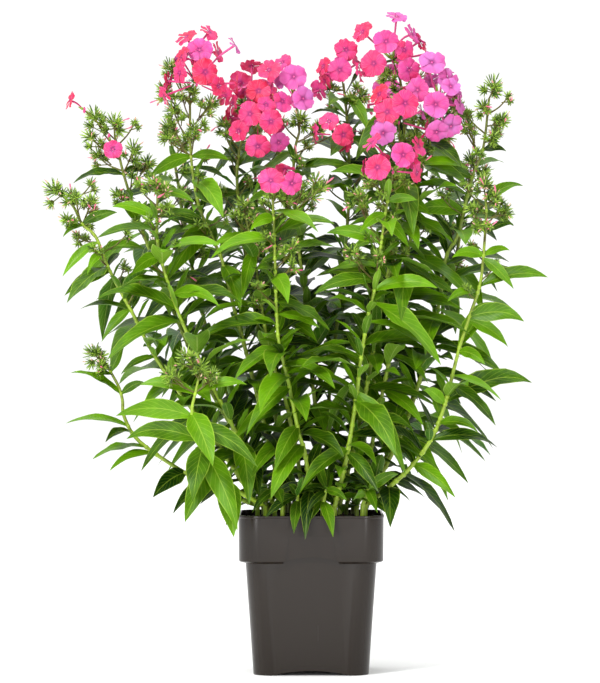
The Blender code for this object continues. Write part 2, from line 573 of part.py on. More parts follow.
def add_leaf(crowd, grown, name, stem, leaf):
    """Adds the leaf where it is clear, or else bent a little aside; a leaf with no room isn't grown."""
    for shrink in SHRINKS:
        for drop in DROPS:
            for swing in SWINGS:
                tried = turned(leaf, math.radians(swing), drop, shrink)
                whole = blade_mesh(sunk(tried, stem), 0.0, BLADE_THICKNESS + CLEARANCE)
                free = blade_mesh(sunk(tried, stem), ROOT_SHARE, BLADE_THICKNESS + CLEARANCE)
                clear = crowd.add_leaf(name, whole, free)
                whole.free()
                free.free()
                if clear:
                    grown.append(tried)
                    return True
    return False


def grow_pairs(crowd, grown, name, stem, draw):
    """Opposite pairs of leaves up the stem, each pair a quarter turn from the one below."""
    low, high = STEMS[name]["pairs"]
    taken = [entry[0] for entry in STEMS[name]["leaves"]]
    azimuth = math.radians(STEMS[name]["turn"])
    z = low
    while z < high:
        share = (z - low) / (high - low)
        length = FIRST_LENGTH + MIDDLE_LENGTH * math.sin(math.pi * min(share * 1.1, 1)) + LAST_LENGTH * share
        root, along = stem.at(z)
        for side in (0, math.pi):
            swing = math.radians(draw.uniform(-14, 14))
            lift = math.radians(draw.uniform(-12, 22))
            scale = draw.uniform(0.88, 1.1)
            leaf = grown_leaf(root, along, azimuth + side + swing, lift, length * scale * MM)
            if not any(abs(z - other) < PAIR_ROOM for other in taken):
                add_leaf(crowd, grown, name, stem, leaf)
        azimuth += math.pi / 2
        z += LEAF_SPACING * draw.uniform(0.9, 1.15)


# From the plan to solids.
def put(name, mesh, collection):
    thing = bpy.data.objects.new(name, mesh)
    collection.objects.link(thing)
    return thing


def mesh_of(bm, name):
    mesh = bpy.data.meshes.new(name)
    bm.to_mesh(mesh)
    bm.free()
    return mesh


def tube(name, points, radii, collection):
    """A four-sided tube through points as a mesh: a curve with a bevel and filled caps."""
    curve = bpy.data.curves.new(name, "CURVE")
    curve.dimensions = "3D"
    curve.bevel_depth = MM
    curve.bevel_resolution = 0
    curve.use_fill_caps = True
    line = curve.splines.new("POLY")
    line.points.add(len(points) - 1)
    for knot, point, radius in zip(line.points, points, radii):
        knot.co = (*point, 1)
        knot.radius = radius / MM
    drawn = put(name + "_curve", curve, collection)
    bpy.context.view_layer.update()
    mesh = bpy.data.meshes.new_from_object(drawn.evaluated_get(bpy.context.evaluated_depsgraph_get()))
    bpy.data.objects.remove(drawn)
    bm = bmesh.new()
    bm.from_mesh(mesh)
    bpy.data.meshes.remove(mesh)
    bmesh.ops.remove_doubles(bm, verts=bm.verts, dist=0.00001)
    bmesh.ops.recalc_face_normals(bm, faces=bm.faces[:])
    return put(name, mesh_of(bm, name), collection)


def pointing(at, direction):
    """The matrix that puts +Z along direction, at a point."""
    return Matrix.Translation(at) @ direction.to_track_quat("Z", "Y").to_matrix().to_4x4()


def drawn_out(bm, face, to, size):
    """Draws a face out into a stalk: its copy, at a size of its own, is centred on a far point."""
    grown = bmesh.ops.extrude_face_region(bm, geom=[face])["geom"]
    bmesh.ops.delete(bm, geom=[face], context="FACES_ONLY")
    ends = [v for v in grown if isinstance(v, bmesh.types.BMVert)]
    middle = sum((v.co for v in ends), Vector()) / len(ends)
    for vert in ends:
        vert.co = to + (vert.co - middle).normalized() * size


def bud_head(name, head, foot, collection):
    """A head of pointed calyces: the faces of a small core, each drawn out, and one down to the stem."""
    bm = bmesh.new()
    place = pointing(head.centre, head.axis)
    radius = head.radius * CORE_SHARE
    if head.radius >= LARGE_HEAD * MM:
        bmesh.ops.create_icosphere(bm, subdivisions=1, radius=radius, matrix=place)
    else:
        bmesh.ops.create_uvsphere(bm, u_segments=4, v_segments=2, radius=radius, matrix=place)
    bm.normal_update()
    down = (foot - head.centre).normalized()
    stalk = max(bm.faces, key=lambda face: face.normal.dot(down))
    for face in [f for f in bm.faces if f != stalk and f.normal.dot(head.axis) > LOWEST_CALYX]:
        rise = head.radius - (face.calc_center_median() - head.centre).length
        bmesh.ops.poke(bm, faces=[face], offset=rise)
    drawn_out(bm, stalk, foot, STALK_RADIUS * MM)
    put(name, mesh_of(bm, name), collection)


def flower_mesh(flower):
    """A flower: a pentagon with a lobe on each side, thickened, and its tube drawn out to the core."""
    bm = bmesh.new()
    place = pointing(flower.centre, flower.normal)
    throat = []
    for k in range(LOBES):
        angle = 2 * math.pi * k / LOBES
        out = Vector((math.cos(angle), math.sin(angle), 0)) * TUBE_RADIUS * MM
        throat.append(bm.verts.new(place @ out))
    bm.faces.new(throat)
    for k in range(LOBES):
        middle = 2 * math.pi * (k + 0.5) / LOBES
        shoulders = []
        for offset in (LOBE_HALF_ANGLE, -LOBE_HALF_ANGLE):
            angle = middle + math.radians(offset)
            out = Vector((math.cos(angle), math.sin(angle), LIMB_CUP)) * flower.radius
            shoulders.append(bm.verts.new(place @ out))
        bm.faces.new((throat[(k + 1) % LOBES], throat[k], shoulders[1], shoulders[0]))
    bmesh.ops.triangulate(bm, faces=[f for f in bm.faces if len(f.verts) == 4])
    bm.normal_update()
    bmesh.ops.solidify(bm, geom=bm.faces[:], thickness=LIMB_THICKNESS * MM)
    bmesh.ops.recalc_face_normals(bm, faces=bm.faces[:])
    below = min((f for f in bm.faces if len(f.verts) == LOBES), key=lambda f: f.normal.dot(flower.normal))
    drawn_out(bm, below, flower.core, TUBE_RADIUS * MM)
    return bm


def joined(name, base, pieces):
    """One solid from base and everything in the collection pieces, which is then removed."""
    union = base.modifiers.new("join", "BOOLEAN")
    union.operation = "UNION"
    union.operand_type = "COLLECTION"
    union.collection = pieces
    union.solver = "MANIFOLD"
    bpy.context.view_layer.update()
    mesh = bpy.data.meshes.new_from_object(base.evaluated_get(bpy.context.evaluated_depsgraph_get()))
    base.modifiers.clear()
    base.data = mesh
    for piece in list(pieces.objects):
        bpy.data.objects.remove(piece)
    bpy.data.collections.remove(pieces)
    base.name = name
    return base


def pieces_of(name):
    pieces = bpy.data.collections.new(name + "_pieces")
    bpy.context.scene.collection.children.link(pieces)
    return pieces


def leafy_stem(name, stem, heads, leaves, stalks, plant):
    radii = [stem.radius(i / len(stem.corners)) for i in range(len(stem.corners))]
    base = tube(name, stem.corners, radii, plant)
    pieces = pieces_of(name)
    for i, head in enumerate(heads):
        bud_head(f"{name}_head_{i}", head, nearest(stem.corners, head.foot), pieces)
    for i, leaf in enumerate(leaves):
        put(f"{name}_leaf_{i}", mesh_of(blade_mesh(sunk(leaf, stem)), "leaf"), pieces)
    for i, stalk in enumerate(stalks):
        carry(f"{name}_stalk_{i}", stalk, pieces)
    return joined(name, base, pieces)


def carry(name, stalk, collection):
    """A thin stalk from the stem to just under the core of a bloom."""
    reach = stalk.core - stalk.foot
    top = stalk.core - reach.normalized() * (BLOOM_CORE_RADIUS + SEAT_GAP) * MM
    bm = bmesh.new()
    bmesh.ops.create_cone(bm, cap_ends=True, segments=3, radius1=STALK_RADIUS * MM, radius2=STALK_RADIUS * MM,
                          depth=(top - stalk.foot).length, matrix=pointing((stalk.foot + top) / 2, reach))
    put(name, mesh_of(bm, name), collection)


def bloom(name, stalk, flowers, plant):
    """The flowers of a head: their tubes meet in a small core, whose point sits over the end of the stalk."""
    bm = bmesh.new()
    bmesh.ops.create_uvsphere(bm, u_segments=4, v_segments=2, radius=BLOOM_CORE_RADIUS * MM,
                              matrix=pointing(stalk.core, stalk.core - stalk.foot))
    base = put(name, mesh_of(bm, name), plant)
    pieces = pieces_of(name)
    for i, flower in enumerate(flowers):
        put(f"{name}_flower_{i}", mesh_of(flower_mesh(flower), "flower"), pieces)
    return joined(name, base, pieces)


def rounded_square(half, z, radius):
    """Corner points of a square with rounded corners, anticlockwise from above, in metres."""
    points = []
    for quarter in range(4):
        for step in range(CORNER_STEPS):
            angle = math.pi / 2 * (quarter + step / (CORNER_STEPS - 1))
            corner = Vector((half - radius, half - radius))
            corner.rotate(Matrix.Rotation(math.pi / 2 * quarter, 2))
            point = corner + Vector((math.cos(angle), math.sin(angle))) * radius
            points.append(Vector((*point, z)) * MM)
    return points


def stacked(name, levels, collection):
    """A solid lofted through rounded squares, given as (half width, height, corner radius) from below."""
    bm = bmesh.new()
    rings = []
    for half, z, radius in levels:
        verts = [bm.verts.new(point) for point in rounded_square(half, z, radius)]
        rings.append([bm.edges.new(pair) for pair in zip(verts, verts[1:] + verts[:1])])
    for low, high in zip(rings, rings[1:]):
        bmesh.ops.bridge_loops(bm, edges=low + high)
    bmesh.ops.holes_fill(bm, edges=bm.edges[:], sides=0)
    bmesh.ops.recalc_face_normals(bm, faces=bm.faces[:])
    return put(name, mesh_of(bm, name), collection)


def cut(thing, cutter):
    cutter.hide_render = True
    cutter.display_type = "WIRE"
    difference = thing.modifiers.new(cutter.name, "BOOLEAN")
    difference.operation = "DIFFERENCE"
    difference.object = cutter


def upright(name, sides, radius, low, high, x, y, collection):
    bm = bmesh.new()
    place = Matrix.Translation(Vector((x, y, (low + high) / 2)) * MM)
    bmesh.ops.create_cone(bm, cap_ends=True, segments=sides, radius1=radius * MM, radius2=radius * MM,
                          depth=(high - low) * MM, matrix=place)
    return put(name, mesh_of(bm, name), collection)


def make_pot(plant, cutters):
    """The moulded pot: a tapered body with a wider collar, hollowed from above and below."""
    pot = stacked("pot", [
        (FOOT_HALF, 0, CORNER_RADIUS), (BODY_TOP_HALF, COLLAR_BOTTOM - STEP_HEIGHT, CORNER_RADIUS),
        (COLLAR_HALF, COLLAR_BOTTOM, CORNER_RADIUS), (RIM_HALF - 0.5, POT_HEIGHT - LIP_HEIGHT, CORNER_RADIUS),
        (RIM_HALF, POT_HEIGHT - LIP_HEIGHT + 1, CORNER_RADIUS), (RIM_HALF, POT_HEIGHT, CORNER_RADIUS)], plant)
    inside = stacked("pot_inside", [
        (FOOT_HALF - WALL, FLOOR_TOP, CORNER_RADIUS - WALL),
        (BODY_TOP_HALF - WALL, SHOULDER, CORNER_RADIUS - WALL),
        (RIM_HALF - WALL, SHOULDER + 6, CORNER_RADIUS - WALL),
        (RIM_HALF - WALL, POT_HEIGHT + CUT_PAST, CORNER_RADIUS - WALL)], cutters)
    under = stacked("pot_underside", [
        (FOOT_HALF - WALL, -1, CORNER_RADIUS - WALL),
        (FOOT_HALF - WALL, FLOOR_BOTTOM, CORNER_RADIUS - WALL)], cutters)
    middle_foot = upright("pot_middle_foot", 12, MIDDLE_FOOT_RADIUS, 0, FLOOR_BOTTOM + 1, 0, 0, cutters)
    cut(pot, inside)
    cut(pot, under)
    for side in range(4):
        around = Matrix.Rotation(math.pi / 2 * side, 4, "Z")
        cut(pot, foot_arch(f"foot_arch_{side}", around, cutters))
        cut(pot, collar_panel(f"collar_panel_{side}", around, cutters))
        at = around @ Vector((DRAIN_AT, DRAIN_AT, 0))
        cut(pot, upright(f"drain_{side}", 8, DRAIN_RADIUS, 1, FLOOR_TOP + CUT_PAST, at.x, at.y, cutters))
    foot = pot.modifiers.new("middle foot", "BOOLEAN")
    foot.operation = "UNION"
    foot.object = middle_foot
    middle_foot.hide_render = True
    middle_foot.display_type = "WIRE"
    return pot


def foot_arch(name, around, collection):
    """A lying cylinder that takes a flat arch out of the lower edge of one wall."""
    radius = ((FOOT_ARCH_WIDTH / 2) ** 2 + FOOT_ARCH_HEIGHT ** 2) / (2 * FOOT_ARCH_HEIGHT)
    bm = bmesh.new()
    place = around @ Matrix.Translation(Vector((0, -FOOT_HALF, FOOT_ARCH_HEIGHT - radius)) * MM)
    bmesh.ops.create_cone(bm, cap_ends=True, segments=64, radius1=radius * MM, radius2=radius * MM,
                          depth=5 * WALL * MM, matrix=place @ Matrix.Rotation(math.pi / 2, 4, "X"))
    return put(name, mesh_of(bm, name), collection)


def collar_panel(name, around, collection):
    """A shallow panel with slanted sides, deeper towards its foot, cut into the collar of one wall."""
    bm = bmesh.new()
    outline = [(-PANEL_TOP_WIDTH / 2, PANEL_TOP), (PANEL_TOP_WIDTH / 2, PANEL_TOP),
               (PANEL_BOTTOM_WIDTH / 2, COLLAR_BOTTOM - PANEL_FOOT),
               (-PANEL_BOTTOM_WIDTH / 2, COLLAR_BOTTOM - PANEL_FOOT)]
    slope = (PANEL_DEPTH - PANEL_TOP_DEPTH) / (PANEL_TOP - COLLAR_BOTTOM)
    verts = []
    for x, z in outline:
        face = COLLAR_HALF - PANEL_DEPTH + (z - COLLAR_BOTTOM) * slope
        verts.append(bm.verts.new(around @ Vector((x, -face, z)) * MM))
    sheet = bm.faces.new(verts)
    grown = bmesh.ops.extrude_face_region(bm, geom=[sheet])["geom"]
    outwards = around @ Vector((0, -10, 0)) * MM
    bmesh.ops.translate(bm, vec=outwards, verts=[v for v in grown if isinstance(v, bmesh.types.BMVert)])
    bmesh.ops.recalc_face_normals(bm, faces=bm.faces[:])
    return put(name, mesh_of(bm, name), collection)


def make_soil(stems, plant, cutters):
    """The soil: it fills the pot, is a little mounded, and has a plain hole for each stem."""
    inner = BODY_TOP_HALF - WALL - SOIL_GAP
    soil = stacked("soil", [
        (FOOT_HALF - WALL - 1.5, FLOOR_TOP + SOIL_GAP, CORNER_RADIUS - WALL),
        (inner - 0.5, SHOULDER - 1, CORNER_RADIUS - WALL),
        (inner + 0.4, SHOULDER + 1, CORNER_RADIUS - WALL),
        (RIM_HALF - WALL - 1.0, SHOULDER + 7, CORNER_RADIUS - WALL),
        (RIM_HALF - WALL - SOIL_GAP - 0.2, SOIL_EDGE, CORNER_RADIUS - WALL),
        (46, SOIL_MIDDLE - 3, 20), (20, SOIL_MIDDLE, 12)], plant)
    for name, stem in stems.items():
        foot = stem.line[0] / MM
        cut(soil, upright(name + "_hole", 4, HOLE_RADIUS, HOLE_BOTTOM, SOIL_MIDDLE + 20, foot.x, foot.y,
                          cutters))
    return soil


def srgb(text):
    """A linear colour from a hex colour."""
    shares = [int(text[k:k + 2], 16) / 255 for k in (1, 3, 5)]
    return [*(s / 12.92 if s <= 0.04045 else ((s + 0.055) / 1.055) ** 2.4 for s in shares), 1.0]


def paint(thing, name, colour, roughness):
    material = bpy.data.materials.get(name) or bpy.data.materials.new(name)
    material.use_nodes = True
    shader = material.node_tree.nodes["Principled BSDF"]
    shader.inputs["Base Color"].default_value = srgb(colour)
    shader.inputs["Roughness"].default_value = roughness
    shader.inputs["Metallic"].default_value = 0.0
    thing.data.materials.clear()
    thing.data.materials.append(material)


def main():
    for thing in list(bpy.data.objects):
        bpy.data.objects.remove(thing)
    plant = bpy.data.collections.new(PLANT)
    cutters = bpy.data.collections.new("cutters")
    for collection in (plant, cutters):
        bpy.context.scene.collection.children.link(collection)
    stems, heads, leaves, stalks, blooms = plan_plant(Crowd())
    paint(make_pot(plant, cutters), "pot_plastic", "#4d4843", 0.35)
    paint(make_soil(stems, plant, cutters), "potting_soil", "#2a1a12", 0.95)
    for name, stem in stems.items():
        carried = [stalks[flowers] for flowers, table in BLOOMS.items() if table["on"][0] == name]
        grown = leafy_stem(name, stem, heads[name], leaves[name], carried, plant)
        paint(grown, "phlox_green", "#5d9a1e", 0.5)
    for name, flowers in blooms.items():
        paint(bloom(name, stalks[name], flowers, plant), "phlox_petal", "#ff4fa0", 0.5)
    print("leaves:", sum(len(found) for found in leaves.values()))


main()
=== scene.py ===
# %% [markdown]
# # A garden phlox in its nursery pot
#
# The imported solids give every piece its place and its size. This lesson draws each of them again, finer:
# leaves that arch and ripple, heads of pointed calyces, five-lobed flowers, and a moulded pot.

# %% Set-up
import json
import math
import random
from collections import defaultdict, namedtuple
from itertools import product

import bmesh
import bpy
from mathutils import Matrix, Vector, noise
from mathutils.bvhtree import BVHTree
from mathutils.geometry import intersect_point_line

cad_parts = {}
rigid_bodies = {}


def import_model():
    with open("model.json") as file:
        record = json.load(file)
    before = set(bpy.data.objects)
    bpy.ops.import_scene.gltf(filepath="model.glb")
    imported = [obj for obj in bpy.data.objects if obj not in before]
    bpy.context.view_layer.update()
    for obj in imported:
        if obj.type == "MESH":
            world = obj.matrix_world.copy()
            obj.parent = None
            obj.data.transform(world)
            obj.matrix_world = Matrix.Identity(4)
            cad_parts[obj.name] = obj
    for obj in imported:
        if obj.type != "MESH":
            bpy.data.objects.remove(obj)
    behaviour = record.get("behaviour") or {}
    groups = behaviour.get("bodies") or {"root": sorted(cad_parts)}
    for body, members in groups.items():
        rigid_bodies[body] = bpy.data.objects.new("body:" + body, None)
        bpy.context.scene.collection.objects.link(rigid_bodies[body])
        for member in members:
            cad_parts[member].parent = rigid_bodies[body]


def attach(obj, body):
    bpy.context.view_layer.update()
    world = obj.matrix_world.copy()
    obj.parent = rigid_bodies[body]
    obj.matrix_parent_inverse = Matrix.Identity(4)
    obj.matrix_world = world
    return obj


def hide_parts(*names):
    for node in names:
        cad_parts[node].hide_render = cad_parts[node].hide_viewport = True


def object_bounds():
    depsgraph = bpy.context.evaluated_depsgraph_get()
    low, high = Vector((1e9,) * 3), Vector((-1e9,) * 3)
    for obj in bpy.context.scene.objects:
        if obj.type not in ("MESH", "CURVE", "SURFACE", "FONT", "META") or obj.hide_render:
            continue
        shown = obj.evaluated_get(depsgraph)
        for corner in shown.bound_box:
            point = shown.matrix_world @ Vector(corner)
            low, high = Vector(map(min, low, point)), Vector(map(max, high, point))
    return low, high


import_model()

packed_bounds = [list(corner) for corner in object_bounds()]
print("packed bounds:", packed_bounds)

# %% [markdown]
# ## The plan of the plant
#
# These are the same sizes, tables and rules as in the solids' own source, in millimetres, so that every
# fine leaf and flower lies where its solid does. A point of a table is where it shows on the plane through
# the pot's middle, from VIEW_DISTANCE away, and how far behind that plane it lies.

# %% Sizes
MM = 0.001
SEED = 11
VIEW_X = -11.5
VIEW_Z = 351.0
VIEW_DISTANCE = 3900.0
EDGE_DROP = 5.4
POT_HEIGHT = 166.0
FOOT_HALF = 60.0
BODY_TOP_HALF = 68.0
COLLAR_HALF = 74.8
RIM_HALF = 75.6
COLLAR_BOTTOM = 118.0
FLOOR_BOTTOM = 8.0
FLOOR_TOP = 10.0
WALL = 2.0
CORNER_RADIUS = 21.0
SHOULDER = 145.0
STEP_HEIGHT = 2.0
LIP_HEIGHT = 3.0
FOOT_ARCH_WIDTH = 84.0
FOOT_ARCH_HEIGHT = 5.0
PANEL_TOP_WIDTH = 46.0
PANEL_BOTTOM_WIDTH = 54.0
PANEL_TOP = 144.5
PANEL_DEPTH = 3.0
PANEL_TOP_DEPTH = 0.4
PANEL_FOOT = 3.0
MIDDLE_FOOT_RADIUS = 11.0
CUT_PAST = 5.0
DRAIN_RADIUS = 5.0
DRAIN_AT = 36.0
SOIL_EDGE = 157.0
SOIL_MIDDLE = 168.0
ROOT_BOTTOM = 141.3
CORNER_STEPS = 12
STEM_FOOT_RADIUS = 2.5
STEM_TOP_RADIUS = 1.3
STALK_RADIUS = 0.9
SPAN_STEPS = 6
BLADE_THICKNESS = 0.8
LEAF_PROPORTION = 0.25
LEAF_ARCH = 0.17
WIDEST_LEAF = 25.0
LONG_LEAF = 84.0
SHORT_BLADE_ROWS = ((0.32, 0.97), (0.68, 0.76))
LONG_BLADE_ROWS = ((0.24, 0.86), (0.50, 1.0), (0.76, 0.62))
CLEARANCE = 1.0
ROOT_SHARE = 0.12
LIMB_RADIUS = 14.0
TUBE_RADIUS = 1.2
LEAF_SPACING = 88.0
FIRST_LENGTH = 52.0
MIDDLE_LENGTH = 34.0
LAST_LENGTH = -12.0
PAIR_ROOM = 9.0
SHRINKS = (1.0, 0.8)
DROPS = (0.0, 0.14, -0.14, 0.3, -0.28)
SWINGS = (0, 12, -12, 26, -26, 42, -42)
Leaf = namedtuple("Leaf", "root knee tip width face")
Head = namedtuple("Head", "foot centre radius axis")
Stalk = namedtuple("Stalk", "foot core")
Flower = namedtuple("Flower", "core centre normal radius")

# %% [markdown]
# ## The stems' table
#
# Each stem has its path as (x, z, depth), its bud heads as (height that the stalk leaves at, x, z, depth,
# radius), the leaves that give the plant its outline as (height on the stem, tip x, tip z, tip depth, width
# as it shows), the turn of its first pair in degrees, and the heights between which pairs grow by rule.

